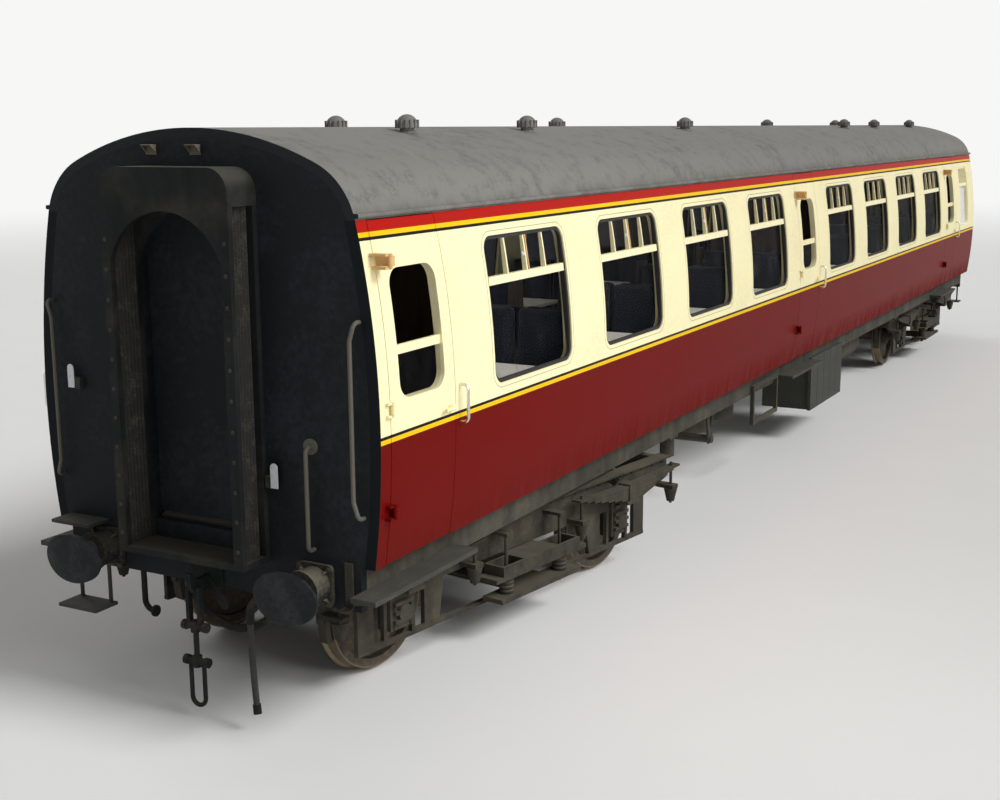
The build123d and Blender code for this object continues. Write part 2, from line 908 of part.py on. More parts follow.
# Footboards under the doorways on gusset brackets, and the steps at one corner of each end
with BuildPart() as footboards:
    for side in SIDES.values():
        board_start = solebar_y + fit
        board_bottom = footboard_z - footboard_thickness / 2
        for centre in door_x:
            with Locations((centre, side * (board_start + footboard_y) / 2, footboard_z)):
                Box(footboard_length, footboard_y - board_start, footboard_thickness)
            for step in (-1, 0, 1):
                bracket_x = centre + step * (footboard_length / 2 - bracket_inset) - bracket_plate / 2
                with BuildSketch(Plane.YZ.offset(bracket_x)):
                    with BuildLine():
                        Polyline(
                            (side * board_start, board_bottom),
                            (side * (footboard_y - bracket_inset), board_bottom),
                            (side * board_start, board_bottom - bracket_drop),
                            close=True,
                        )
                    make_face()
                extrude(amount=bracket_plate)
    for end in ENDS.values():
        step_x = end * (half_body + fit)
        step_y = -end * (end_step_y[0] + end_step_y[1]) / 2
        step_width = end_step_y[1] - end_step_y[0]
        tread_align = (Align.MIN if end > 0 else Align.MAX, Align.CENTER, Align.CENTER)
        with Locations((step_x, step_y, end_step_z)):
            Box(end_step_reach, step_width, end_step_thickness, align=tread_align)
        hung_x = end * (half_body - headstock_thickness / 2)
        with Locations((hung_x, step_y, hung_step_z)):
            Box(hung_step_reach, step_width, end_step_thickness, align=tread_align)
        for step in (-1, 1):
            rod_y = step_y + step * (step_width / 2 - bracket_inset)
            with Locations((hung_x + end * end_step_thickness, rod_y, hung_step_z)):
                Cylinder(
                    end_rail_radius,
                    sole_z - headstock_depth - fit - hung_step_z,
                    align=(Align.CENTER, Align.CENTER, Align.MIN),
                )
save(footboards.part, "footboards")

# Gangways: face plate, hood, sill and rear frame, with the bellows between them
with BuildPart() as gangway_frames:
    for end in ENDS.values():
        face_x = end * (half_body + gangway_reach)
        plate_height = gangway_top - gangway_bottom
        plate_middle = (gangway_top + gangway_bottom) / 2
        with BuildSketch(Plane.YZ.offset(face_x)) as plate:
            with Locations((0, plate_middle)):
                Rectangle(2 * gangway_half, plate_height)
            fillet(plate.vertices().group_by(Axis.Y)[-1], gangway_corner)
            arched_face(passage_half, passage_sill, passage_spring, passage_top, Mode.SUBTRACT)
        extrude(amount=-end * gangway_plate)
        with BuildSketch(Plane.YZ.offset(end * half_body)) as rear:
            with Locations((0, plate_middle)):
                Rectangle(2 * gangway_half, plate_height)
            fillet(rear.vertices().group_by(Axis.Y)[-1], gangway_corner)
            arched_face(passage_half, passage_sill, passage_spring, passage_top, Mode.SUBTRACT)
        extrude(amount=end * gangway_plate)
        with BuildSketch(Plane.YZ.offset(end * half_body)) as hood:
            with Locations((0, (gangway_hood_z + gangway_top) / 2)):
                Rectangle(2 * gangway_half, gangway_top - gangway_hood_z)
            fillet(hood.vertices().group_by(Axis.Y)[-1], gangway_corner)
            with Locations((0, (gangway_bottom + passage_sill) / 2)):
                Rectangle(2 * gangway_half, passage_sill - gangway_bottom)
        extrude(amount=end * gangway_reach)
save(gangway_frames.part, "gangway_frames")

with BuildPart() as gangway_bellows:
    for end in ENDS.values():
        middle_x = end * (half_body + gangway_reach / 2)
        bellows_depth = gangway_reach - 2 * gangway_plate
        for side in SIDES.values():
            bellows_y = side * (gangway_half - bellows_set - bellows_wall / 2)
            with Locations((middle_x, bellows_y, (passage_sill + gangway_hood_z) / 2)):
                Box(bellows_depth, bellows_wall, gangway_hood_z - passage_sill)
save(gangway_bellows.part, "gangway_bellows")

# Buffers: gusseted base, collared housing, shank and oval domed head
head_back = buffer_face - buffer_head_thickness
with BuildPart() as buffer_head:
    with BuildSketch(Plane.XY.offset(head_back)):
        Ellipse(buffer_head_width / 2, buffer_head_height / 2)
    extrude(amount=buffer_head_thickness)
    with Locations((0, 0, buffer_face - buffer_dome)):
        Sphere(buffer_dome, mode=Mode.INTERSECT)

with BuildPart() as buffers:
    for end in ENDS.values():
        for side in SIDES.values():
            base = Plane(
                origin=(end * half_body, side * buffer_y, buffer_z), x_dir=(0, 1, 0), z_dir=(end, 0, 0)
            )
            with BuildSketch(base):
                RectangleRounded(buffer_base, buffer_base, buffer_base_corner)
            extrude(amount=buffer_base_thickness)
            with BuildSketch(base):
                Circle(buffer_housing_radius)
            extrude(amount=buffer_base_thickness + buffer_housing_length)
            with BuildSketch(base.offset(buffer_base_thickness + buffer_housing_length - buffer_collar)):
                Circle(buffer_housing_radius + buffer_collar / 2)
            extrude(amount=buffer_collar)
            for turn in range(buffer_gussets):
                turned = Location((0, 0, 0), (0, 0, (turn + 0.5) * 360 / buffer_gussets))
                gusset = Plane(base.location * turned)
                with BuildSketch(Plane(origin=gusset.origin, x_dir=gusset.x_dir, z_dir=-gusset.y_dir)):
                    with BuildLine():
                        Polyline(
                            (buffer_shank_radius, 0),
                            (buffer_base * buffer_gusset_share, 0),
                            (buffer_base * buffer_gusset_share, buffer_base_thickness),
                            (buffer_shank_radius, buffer_base_thickness + buffer_housing_length / 2),
                            close=True,
                        )
                    make_face()
                extrude(amount=buffer_gusset_plate / 2, both=True)
            with BuildSketch(base):
                Circle(buffer_shank_radius)
            extrude(amount=head_back)
            add(buffer_head.part.moved(base.location))
save(buffers.part, "buffers")

# Draw hooks on their plates, with a flat lever across each plate
with BuildPart() as draw_hooks:
    for end in ENDS.values():
        plate_bottom = sole_z - headstock_depth
        plate_depth = gangway_bottom - fit - plate_bottom
        with Locations((end * (half_body + hook_plate_thickness / 2), 0, plate_bottom + plate_depth / 2)):
            Box(hook_plate_thickness, 2 * hook_plate_half, plate_depth)
        with BuildSketch(Plane.XZ.offset(-hook_half)):
            with BuildLine():
                tip = (end * (half_body + hook_nose_reach), hook_pin_z + 2 * hook_depth)
                throat = (end * (half_body + hook_throat), hook_pin_z + hook_depth)
                heel = (end * (half_body + hook_pin_reach), hook_pin_z - hook_depth / 2)
                root = end * half_body
                Polyline(throat, (root, hook_pin_z + hook_depth), (root, heel[1]), heel)
                RadiusArc(heel, (tip[0], hook_pin_z + hook_depth), end * -2 * hook_depth)
                Line((tip[0], hook_pin_z + hook_depth), tip)
                Line(tip, (tip[0] - end * hook_depth / 3, tip[1]))
                RadiusArc((tip[0] - end * hook_depth / 3, tip[1]), throat, end * 1.5 * hook_depth)
            make_face()
        extrude(amount=2 * hook_half)
        plate_face = Plane(
            origin=(end * (half_body + hook_plate_thickness), 0, 0), x_dir=(0, end, 0), z_dir=(end, 0, 0)
        )
        with BuildSketch(plate_face):
            with Locations(hook_lever_middle):
                SlotCenterToCenter(hook_lever_length, hook_lever_width, rotation=hook_lever_angle)
        extrude(amount=hook_plate_thickness)
        with Locations((end * (half_body + hook_pin_reach), 0, hook_pin_z)):
            Cylinder(coupling_pin_radius + pin_play, body_width, rotation=(90, 0, 0), mode=Mode.SUBTRACT)
save(draw_hooks.part, "draw_hooks")

# Screw couplings that hang from the hooks
for name, end in ENDS.items():
    x = end * (half_body + hook_pin_reach)
    with BuildPart() as coupling:
        with Locations((x, 0, hook_pin_z)):
            Cylinder(coupling_pin_radius, 2 * coupling_link_y + coupling_link_thickness, rotation=(90, 0, 0))
        for side in SIDES.values():
            with BuildSketch(Plane.XZ.offset(-side * coupling_link_y - coupling_link_thickness / 2)):
                with Locations((x, (hook_pin_z + upper_trunnion_z) / 2)):
                    SlotCenterToCenter(hook_pin_z - upper_trunnion_z, coupling_link_width, rotation=90)
            extrude(amount=coupling_link_thickness)
        for z in (upper_trunnion_z, lower_trunnion_z):
            with Locations((x, 0, z)):
                Cylinder(coupling_trunnion_radius, 2 * coupling_trunnion_half, rotation=(90, 0, 0))
                Cylinder(coupling_boss_radius, coupling_boss_height)
            for side in SIDES.values():
                with Locations((x, side * coupling_trunnion_half, z)):
                    Cylinder(coupling_boss_radius, coupling_boss_length, rotation=(90, 0, 0))
        with Locations((x, 0, (upper_trunnion_z + lower_trunnion_z) / 2)):
            Cylinder(coupling_screw_radius, upper_trunnion_z - lower_trunnion_z)
        with BuildLine() as loop:
            Line((x, shackle_half, lower_trunnion_z), (x, shackle_half, shackle_bend_z))
            ThreePointArc(
                (x, shackle_half, shackle_bend_z),
                (x, 0, shackle_bend_z - shackle_half),
                (x, -shackle_half, shackle_bend_z),
            )
            Line((x, -shackle_half, shackle_bend_z), (x, -shackle_half, lower_trunnion_z))
        with BuildSketch(Plane(origin=(x, shackle_half, lower_trunnion_z), z_dir=(0, 0, -1))):
            Circle(shackle_rod)
        sweep(path=loop.line)
    save(coupling.part, f"screw_coupling_{name}")

# Pipes under the headstocks: brake pipe with its mouth down, heating pipe with a flange, drooping cross pipe
with BuildPart() as brake_pipes:
    for end in ENDS.values():
        y = end * pipe_y
        z = sole_z - headstock_depth - pipe_radius
        with BuildLine() as run:
            FilletPolyline(
                (end * (half_body - pipe_tail), y, z),
                (end * (half_body + pipe_nose), y, z),
                (end * (half_body + pipe_nose), y, pipe_mouth_z),
                radius=pipe_bend,
            )
        with BuildSketch(Plane(origin=run.line @ 0, z_dir=run.line % 0)):
            Circle(pipe_radius)
        sweep(path=run.line)
        hung_x = end * (half_body - headstock_thickness / 2)
        top = sole_z - headstock_depth - fit
        with BuildLine() as bent:
            FilletPolyline(
                (hung_x, -end * heating_y, top),
                (hung_x, -end * heating_y, heating_z),
                (hung_x, -end * heating_end_y, heating_z),
                radius=pipe_bend,
            )
        with BuildSketch(Plane(origin=bent.line @ 0, z_dir=bent.line % 0)):
            Circle(heating_radius)
        sweep(path=bent.line)
        with Locations((hung_x, -end * heating_end_y, heating_z)):
            Cylinder(2 * heating_radius, heating_flange, rotation=(90, 0, 0))
        with BuildLine() as droop:
            ThreePointArc(*[(hung_x, end * y, z) for y, z in zip(droop_y, (top, droop_z, top))])
        with BuildSketch(Plane(origin=droop.line @ 0, z_dir=droop.line % 0)):
            Circle(pipe_radius)
        sweep(path=droop.line)
    with BuildSketch(Plane.XY.offset(sole_z - headstock_depth - fit)):
        Rectangle(2 * body_length, body_width)
    extrude(amount=headstock_depth, mode=Mode.SUBTRACT)
save(brake_pipes.part, "brake_pipes")

# Hanging brake hose and the fitting at its end
hose_radii = []
for before, corner, after in zip(hose_points, hose_points[1:], hose_points[2:]):
    run_in = Vector(corner) - Vector(before)
    run_out = Vector(after) - Vector(corner)
    turn = radians(run_in.get_angle(run_out))
    hose_radii.append(0.45 * min(run_in.length, run_out.length) / tan(turn / 2))
print("hose radii", [round(r) for r in hose_radii])
with BuildPart() as brake_hose:
    with BuildLine() as hang:
        FilletPolyline(*hose_points, radius=hose_radii)
    with BuildSketch(Plane(origin=hang.line @ 0, z_dir=hang.line % 0)):
        Circle(hose_diameter / 2)
    sweep(path=hang.line)
print("hose length", round(hang.wire().length))
save(brake_hose.part, "brake_hose")

hose_end = Plane(origin=hang.line @ 1, z_dir=hang.line % 1)
with BuildPart() as hose_fitting:
    with BuildSketch(hose_end):
        Circle(hose_fit_radius)
    extrude(amount=hose_fit_length)
    with BuildSketch(hose_end.offset(hose_fit_length)):
        Circle(hose_mouth_radius)
    extrude(amount=-hose_mouth_depth, mode=Mode.SUBTRACT)
save(hose_fitting.part, "hose_fitting")
print("hose end", hose_end.offset(hose_fit_length).origin, hose_end.z_dir)

# Roof ventilators: a flared foot, a neck and a domed cap with a drip edge, turned about an upright axis
with BuildPart() as ventilator:
    with BuildSketch(Plane.XZ):
        with BuildLine():
            Polyline(
                (0, ventilator_height),
                (0, -ventilator_height),
                (ventilator_foot, -ventilator_height),
                (ventilator_foot, 0),
                (ventilator_neck, ventilator_visor),
                (ventilator_neck, ventilator_height - ventilator_cap),
                (ventilator_cap, ventilator_height - ventilator_cap - ventilator_visor),
                (ventilator_cap, ventilator_height - ventilator_cap),
            )
            RadiusArc(
                (ventilator_cap, ventilator_height - ventilator_cap), (0, ventilator_height), -ventilator_cap
            )
        make_face()
    revolve(axis=Axis.Z)

with BuildPart() as roof_ventilators:
    foot_z = roof_height(ventilator_y)
    for x, side in ventilators:
        add(ventilator.part.moved(Location((x, side * ventilator_y, foot_z))))
    with BuildSketch(Plane.YZ.offset(-half_body)):
        half_roof_face(-fit, Mode.ADD)
        mirror(about=Plane.YZ)
    extrude(amount=body_length, mode=Mode.SUBTRACT)
save(roof_ventilators.part, "roof_ventilators")

# Battery boxes below the floor, with planked fronts that stand in front of the solebars
battery_middle = (battery_x[0] + battery_x[1]) / 2
battery_length = battery_x[1] - battery_x[0]
with BuildPart() as battery_boxes:
    for side in SIDES.values():
        body_top = sole_z - solebar_depth - fit
        with Locations((battery_middle, side * (battery_inner_y + battery_front_y) / 2, battery_bottom)):
            Box(
                battery_length - 2 * battery_strap,
                battery_front_y - battery_inner_y,
                body_top - battery_bottom,
                align=(Align.CENTER, Align.CENTER, Align.MIN),
            )
        front_height = battery_top - battery_bottom
        with Locations((battery_middle, side * (battery_front_y + battery_front / 2), battery_bottom)):
            Box(battery_length, battery_front, front_height, align=(Align.CENTER, Align.CENTER, Align.MIN))
        for plank in range(1, battery_planks):
            plank_x = battery_x[0] + battery_length * plank / battery_planks
            with Locations((plank_x, side * (battery_front_y + battery_front), battery_bottom)):
                Box(battery_groove, 2 * battery_groove, 2 * front_height, mode=Mode.SUBTRACT)
        for x, inward in zip(battery_x, (1, -1)):
            strap_y = side * (battery_inner_y + battery_strap)
            with Locations((x + inward * 2 * battery_strap, strap_y, battery_bottom)):
                Box(
                    battery_strap,
                    2 * battery_strap,
                    sole_z - battery_bottom - fit,
                    align=(Align.CENTER, Align.CENTER, Align.MIN),
                )
save(battery_boxes.part, "battery_boxes")

# Brake cylinders hung from the floor, round at the bottom
with BuildPart() as brake_cylinders:
    with BuildSketch(Plane.XY.offset(cylinder_bottom)):
        for x in cylinder_x:
            with Locations((x, cylinder_y)):
                Circle(cylinder_radius)
    extrude(amount=sole_z - cylinder_bottom)
    fillet(brake_cylinders.edges().group_by(Axis.Z)[0], cylinder_round)
save(brake_cylinders.part, "brake_cylinders")

# Reservoir with rounded ends in two straps, and the small drain pot beside the near bogie
with BuildPart() as reservoir:
    with BuildSketch(Plane.YZ.offset(reservoir_x[0])):
        with Locations((-reservoir_y, reservoir_z)):
            Circle(reservoir_radius)
    extrude(amount=reservoir_x[1] - reservoir_x[0])
    fillet(reservoir.edges().filter_by(GeomType.CIRCLE), reservoir_round)
    for x in (reservoir_x[0] + reservoir_strap_inset, reservoir_x[1] - reservoir_strap_inset):
        with Locations((x, -reservoir_y, reservoir_z)):
            Box(
                reservoir_strap,
                2 * reservoir_radius - reservoir_strap,
                sole_z - reservoir_z,
                align=(Align.CENTER, Align.CENTER, Align.MIN),
            )
    with Locations((pot_x, pot_y, pot_z[0])):
        Cylinder(pot_radius, pot_z[1] - pot_z[0], align=(Align.CENTER, Align.CENTER, Align.MIN))
        Cylinder(pot_neck, sole_z - pot_z[0] - fit, align=(Align.CENTER, Align.CENTER, Align.MIN))
save(reservoir.part, "reservoir")

# Brake shaft in its V-shaped hangers, and the open guard frame in front of the cylinders
with BuildPart() as brake_rigging:
    for side in SIDES.values():
        for way in (-1, 1):
            with BuildSketch(Plane.XZ.offset(-side * v_hanger_y)):
                with BuildLine():
                    Polyline(
                        (v_hanger_x - v_hanger_bar * way, v_hanger_bottom),
                        (v_hanger_x + v_hanger_bar * way, v_hanger_bottom),
                        (v_hanger_x + way * v_hanger_half, sole_z),
                        (v_hanger_x + way * (v_hanger_half - v_hanger_bar), sole_z),
                        close=True,
                    )
                make_face()
            extrude(amount=v_hanger_bar / 2)
        with Locations((v_hanger_x, side * v_hanger_y / 2, v_hanger_bottom + v_hanger_bar)):
            Cylinder(shaft_collar_radius, shaft_collar, rotation=(90, 0, 0))
    with Locations((v_hanger_x, 0, v_hanger_bottom + v_hanger_bar)):
        Cylinder(shaft_radius, 2 * v_hanger_y + 2 * v_hanger_bar, rotation=(90, 0, 0))
    with BuildSketch(Plane.XZ.offset(solebar_y + fit)):
        with Locations(((guard_x[0] + guard_x[1]) / 2, (guard_z[0] + guard_z[1]) / 2)):
            guard_length, guard_height = guard_x[1] - guard_x[0], guard_z[1] - guard_z[0]
            Rectangle(guard_length, guard_height)
            Rectangle(guard_length - 2 * guard_bar, guard_height - 2 * guard_bar, mode=Mode.SUBTRACT)
    extrude(amount=guard_depth)
save(brake_rigging.part, "brake_rigging")

# Bogie pieces in the bogie's own frame, at the height where they stand
hanger_y = (leaf_inner_y + leaf_outer_y) / 2
horn_end = horn_half_gap + horn_width
with BuildPart() as bogie_frame:
    for side in SIDES.values():
        with BuildSketch(Plane.XZ.offset(-side * frame_y - frame_plate / 2)):
            with BuildLine():
                Polyline(
                    (0, frame_waist),
                    (half_wheelbase - horn_end - frame_slope, frame_waist),
                    (half_wheelbase - horn_end, horn_bottom),
                    (half_wheelbase + horn_end, horn_bottom),
                    (half_wheelbase + horn_end, frame_waist),
                    (frame_half_length, frame_end_bottom),
                    (frame_half_length, frame_top),
                    (0, frame_top),
                    close=True,
                )
            make_face()
            with Locations((half_wheelbase, (horn_bottom + axlebox_top) / 2)):
                Rectangle(2 * horn_half_gap, axlebox_top - horn_bottom, mode=Mode.SUBTRACT)
            slot_x = horn_half_gap + horn_cheek + horn_slot_width / 2
            with Locations((half_wheelbase, (horn_bottom + frame_waist) / 2)):
                with GridLocations(2 * slot_x, 0, 2, 1):
                    RectangleRounded(horn_slot_width, horn_slot_height, horn_slot_corner, mode=Mode.SUBTRACT)
            with BuildLine():
                Polyline(
                    (half_wheelbase - gusset_length / 2, frame_top - gusset_height / 4),
                    (half_wheelbase + gusset_length / 2, frame_top - gusset_height / 4),
                    (half_wheelbase, frame_top - gusset_height),
                    close=True,
                )
            make_face(mode=Mode.SUBTRACT)
            mirror(about=Plane.YZ)
        extrude(amount=frame_plate)
        with Locations((0, side * frame_y, frame_top + flange_plate / 2)):
            Box(2 * frame_half_length, flange_plate_width, flange_plate)
        with Locations((0, side * frame_y, horn_bottom - tie_bar_depth / 2)):
            Box(2 * (half_wheelbase + horn_end), 2 * tie_bar_half, tie_bar_depth)
        bracket_end = hanger_y + hanger_bracket_half
        for x in (-1, 1):
            for step in (-1, 1):
                hx = x * half_wheelbase + step * hanger_x
                with Locations((hx, side * (frame_y + bracket_end) / 2, hanger_bracket_z)):
                    Box(2 * hanger_bracket_half, bracket_end - frame_y, hanger_bracket_depth)
                with Locations((hx, side * hanger_y, hanger_bottom)):
                    Cylinder(
                        hanger_radius,
                        leaf_middle_top + leaf_camber + hanger_cap_height - hanger_bottom,
                        align=(Align.CENTER, Align.CENTER, Align.MIN),
                    )
                cone_z = hanger_bracket_z - (hanger_bracket_depth + cone_height) / 2
                with Locations((hx, side * hanger_y, cone_z)):
                    Cone(cone_bottom_radius, cone_top_radius, cone_height)
            lug_end = coil_y + link_lug_half
            with Locations((x * coil_x, side * (frame_y + lug_end) / 2, link_top + link_nut_height / 2)):
                Box(2 * link_lug_half, lug_end - frame_y, link_nut_height)
    for x in (-1, 1):
        with Locations((x * (frame_half_length - end_beam_width / 2), 0, frame_top - end_beam_depth / 2)):
            Box(end_beam_width, 2 * frame_y, end_beam_depth)
        with Locations((x * transom_x, 0, transom_bottom + transom_depth / 2)):
            Box(transom_width, 2 * frame_y, transom_depth)

# Bolster: a beam across the bogie with a spring seat along each end and a box over each coil
with BuildPart() as bogie_bolster:
    seat_middle_y = (bolster_seat_inner_y + bolster_seat_outer_y) / 2
    seat_depth_y = bolster_seat_outer_y - bolster_seat_inner_y
    with Locations((0, 0, (bolster_bottom + bolster_top) / 2)):
        Box(2 * bolster_half, 2 * bolster_seat_outer_y, bolster_top - bolster_bottom)
    for side in SIDES.values():
        with Locations((0, side * seat_middle_y, bolster_bottom + bolster_seat_thickness / 2)):
            Box(2 * bolster_seat_half, seat_depth_y, bolster_seat_thickness)
        for x in (-1, 1):
            with BuildSketch(Plane.XY.offset(bolster_bottom)):
                with Locations((x * coil_x, side * seat_middle_y)):
                    Rectangle(2 * bolster_box_half, seat_depth_y)
                    Rectangle(
                        2 * (bolster_box_half - bolster_box_wall),
                        seat_depth_y - 2 * bolster_box_wall,
                        mode=Mode.SUBTRACT,
                    )
            extrude(amount=bolster_top - bolster_bottom)
            with Locations((x * coil_x, side * coil_y, bolster_bottom)):
                Cylinder(hanger_radius + hanger_play, 4 * bolster_seat_thickness, mode=Mode.SUBTRACT)
    with Locations((0, 0, bolster_top)):
        Box(
            2 * bolster_half,
            2 * pivot_seat_half,
            pivot_seat_top - bolster_top,
            align=(Align.CENTER, Align.CENTER, Align.MIN),
        )
    with Locations((0, 0, pivot_seat_top)):
        Cylinder(
            pivot_pin_radius + pivot_play,
            pivot_pin_depth,
            align=(Align.CENTER, Align.CENTER, Align.MAX),
            mode=Mode.SUBTRACT,
        )

# Spring plank under the coils, hung from the frame by a rod through each coil
with BuildPart() as bogie_plank:
    plank_z = plank_top - plank_thickness / 2
    with Locations((0, 0, plank_z)):
        Box(2 * plank_half, 2 * bolster_seat_outer_y, plank_thickness)
    for side in SIDES.values():
        with Locations((0, side * seat_middle_y, plank_z)):
            Box(2 * plank_end_half, seat_depth_y, plank_thickness)
        for x in (-1, 1):
            with Locations((x * coil_x, side * coil_y, link_bottom)):
                Cylinder(
                    hanger_radius, link_top - link_bottom, align=(Align.CENTER, Align.CENTER, Align.MIN)
                )
            with BuildSketch(Plane.XY.offset(link_bottom + link_nut_height / 2)):
                with Locations((x * coil_x, side * coil_y)):
                    RegularPolygon(link_nut, 6)
            extrude(amount=link_nut_height)

# Springs: packs of leaves over the axleboxes, concentric and stepped, and coils under the bolster
leaf_arc = (leaf_half_span**2 + leaf_camber**2) / (2 * leaf_camber)
with BuildPart() as leaf_springs:
    for side in SIDES.values():
        for x in (-1, 1):
            axle_x = x * half_wheelbase
            for leaf in range(leaf_count):
                set_in = leaf_set_in * (leaf % 2)
                half_span = leaf_half_span - leaf * leaf_step
                with BuildSketch(Plane.XZ.offset(-side * (leaf_inner_y + set_in))):
                    with BuildLine():
                        edges = []
                        for layer in (leaf, leaf + 1):
                            radius = leaf_arc + layer * leaf_thickness
                            centre_z = leaf_middle_top + leaf_arc
                            end_z = centre_z - sqrt(radius**2 - half_span**2)
                            edges.append(
                                ThreePointArc(
                                    (axle_x - half_span, end_z),
                                    (axle_x, centre_z - radius),
                                    (axle_x + half_span, end_z),
                                )
                            )
                        Line(edges[0] @ 0, edges[1] @ 0)
                        Line(edges[0] @ 1, edges[1] @ 1)
                    make_face()
                extrude(amount=-side * (leaf_outer_y - leaf_inner_y - 2 * set_in))
            buckle_bottom = axlebox_top + fit
            with Locations((axle_x, side * hanger_y, buckle_bottom)):
                Box(
                    2 * buckle_half,
                    leaf_outer_y - leaf_inner_y + 2 * buckle_wall,
                    leaf_middle_top + buckle_wall - buckle_bottom,
                    align=(Align.CENTER, Align.CENTER, Align.MIN),
                )
            for step in (-1, 1):
                with Locations((axle_x + step * hanger_x, side * hanger_y, leaf_middle_top)):
                    Cylinder(hanger_radius + hanger_play, leaf_half_span, mode=Mode.SUBTRACT)

with BuildPart() as coil:
    coil_rise = bolster_bottom - plank_top - 2 * fit
    turn_rise = coil_rise / coil_turns
    with BuildSketch(Plane.XZ):
        with BuildLine():
            for turn in range(coil_turns):
                ThreePointArc(
                    (coil_radius, turn * turn_rise),
                    (coil_radius + coil_wire, (turn + 0.5) * turn_rise),
                    (coil_radius, (turn + 1) * turn_rise),
                )
            bore = coil_radius - coil_wire
            Polyline((coil_radius, coil_rise), (bore, coil_rise), (bore, 0), (coil_radius, 0))
        make_face()
    revolve(axis=Axis.Z)

with BuildPart() as bogie_springs:
    add(leaf_springs.part)
    for side in SIDES.values():
        for x in (-1, 1):
            add(coil.part.moved(Location((x * coil_x, side * coil_y, plank_top + fit))))

# Axleboxes: ribbed faces with a round lid, and a seat on top for the spring buckle
with BuildPart() as bogie_axleboxes:
    for side in SIDES.values():
        for x in (-1, 1):
            axle_x = x * half_wheelbase
            middle_y = (axlebox_inner_y + axlebox_outer_y) / 2
            with Locations((axle_x, side * middle_y, (axlebox_bottom + axlebox_top) / 2)):
                Box(2 * axlebox_half, axlebox_outer_y - axlebox_inner_y, axlebox_top - axlebox_bottom)
            seat_end = leaf_outer_y + buckle_wall
            seat_z = axlebox_top - spring_seat_thickness / 2
            with Locations((axle_x, side * (middle_y + seat_end) / 2, seat_z)):
                Box(2 * spring_seat_half, seat_end - middle_y, spring_seat_thickness)
            for i in range(axlebox_ribs):
                rib_z = axlebox_bottom + (axlebox_top - axlebox_bottom) * (i + 1) / (axlebox_ribs + 1)
                with Locations((axle_x, side * (axlebox_outer_y + axlebox_rib_reach / 2), rib_z)):
                    Box(2 * axlebox_rib_half, axlebox_rib_reach, axlebox_rib)
            with Locations((axle_x, side * (axlebox_outer_y + axlebox_lid_reach), axle_z)):
                Cylinder(axlebox_lid_radius, 2 * axlebox_lid_reach, rotation=(90, 0, 0))
            with Locations((axle_x, side * axlebox_inner_y, axle_z)):
                bore_depth = journal_end_y + pin_play - axlebox_inner_y
                Cylinder(journal_radius + pin_play, 2 * bore_depth, rotation=(90, 0, 0), mode=Mode.SUBTRACT)

# Brake shoes both sides of every wheel, each on a hanger from a pin in the frame
with BuildPart() as bogie_brakes:
    shoe_middle_y = (shoe_inner_y + shoe_outer_y) / 2
    shoe_reach = tread_radius + shoe_gap + shoe_thickness
    for side in SIDES.values():
        for x in (-1, 1):
            axle_x = x * half_wheelbase
            for step in (-1, 1):
                with BuildSketch(Plane.XZ.offset(-side * shoe_middle_y - (shoe_outer_y - shoe_inner_y) / 2)):
                    with Locations((axle_x, axle_z)):
                        Circle(shoe_reach)
                        Circle(tread_radius + shoe_gap, mode=Mode.SUBTRACT)
                    with Locations((axle_x + step * shoe_reach, axle_z)):
                        Rectangle(shoe_reach, 2 * shoe_half_height, mode=Mode.INTERSECT)
                extrude(amount=shoe_outer_y - shoe_inner_y)
                hanger_at = axle_x + step * (shoe_reach + shoe_hanger_thickness / 2 - fit)
                with Locations((hanger_at, side * shoe_middle_y, axle_z)):
                    Box(
                        shoe_hanger_thickness,
                        2 * shoe_hanger_half,
                        shoe_hanger_z + shoe_hanger_half - axle_z,
                        align=(Align.CENTER, Align.CENTER, Align.MIN),
                    )
                pin_end = frame_y - frame_plate / 2 - pin_play
                with Locations((hanger_at, side * (shoe_inner_y + pin_end) / 2, shoe_hanger_z)):
                    Cylinder(shoe_pin_radius, pin_end - shoe_inner_y, rotation=(90, 0, 0))

with BuildPart() as wheelset:
    with BuildSketch(Plane.XY):
        with BuildLine():
            Polyline(
                (0, 0),
                (axle_radius, 0),
                (axle_radius, hub_inner_y),
                (hub_radius, hub_inner_y),
                (hub_radius, web_inner_y),
                (rim_inner_radius, web_inner_y),
                (rim_inner_radius, wheel_inner_y),
                (axle_z - flange_depth / 2, wheel_inner_y),
                (axle_z, wheel_inner_y + flange_width / 3),
                (axle_z, wheel_inner_y + flange_width * 2 / 3),
                (tread_radius + tread_cone, wheel_inner_y + flange_width + tread_cone),
                (tread_radius, wheel_outer_y),
                (rim_inner_radius, wheel_outer_y),
                (rim_inner_radius, web_outer_y),
                (hub_radius, web_outer_y),
                (hub_radius, hub_outer_y),
                (journal_radius, hub_outer_y),
                (journal_radius, journal_end_y),
                (0, journal_end_y),
                close=True,
            )
        make_face()
        mirror(about=Plane.XZ)
    revolve(axis=Axis.Y)

bogie_pieces = {
    "frame": bogie_frame.part,
    "bolster": bogie_bolster.part,
    "plank": bogie_plank.part,
    "springs": bogie_springs.part,
    "axleboxes": bogie_axleboxes.part,
    "brakes": bogie_brakes.part,
}
for name, end in ENDS.items():
    stand = Location((end * bogie_x, 0, 0), (0, 0, bogie_yaw[name]))
    for piece_name, piece in bogie_pieces.items():
        save(piece.moved(stand), f"bogie_{name}_{piece_name}")
    for place, way in (("outer", end), ("inner", -end)):
        axle = stand * Location((way * half_wheelbase, 0, axle_z))
        save(wheelset.part.moved(axle), f"wheelset_{name}_{place}")
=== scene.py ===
"""Railway passenger coach: finishes, soft pieces, trim and stage around the construction model."""

import json
import math

import bmesh
import bpy
from mathutils import Matrix, Vector
from mathutils.bvhtree import BVHTree

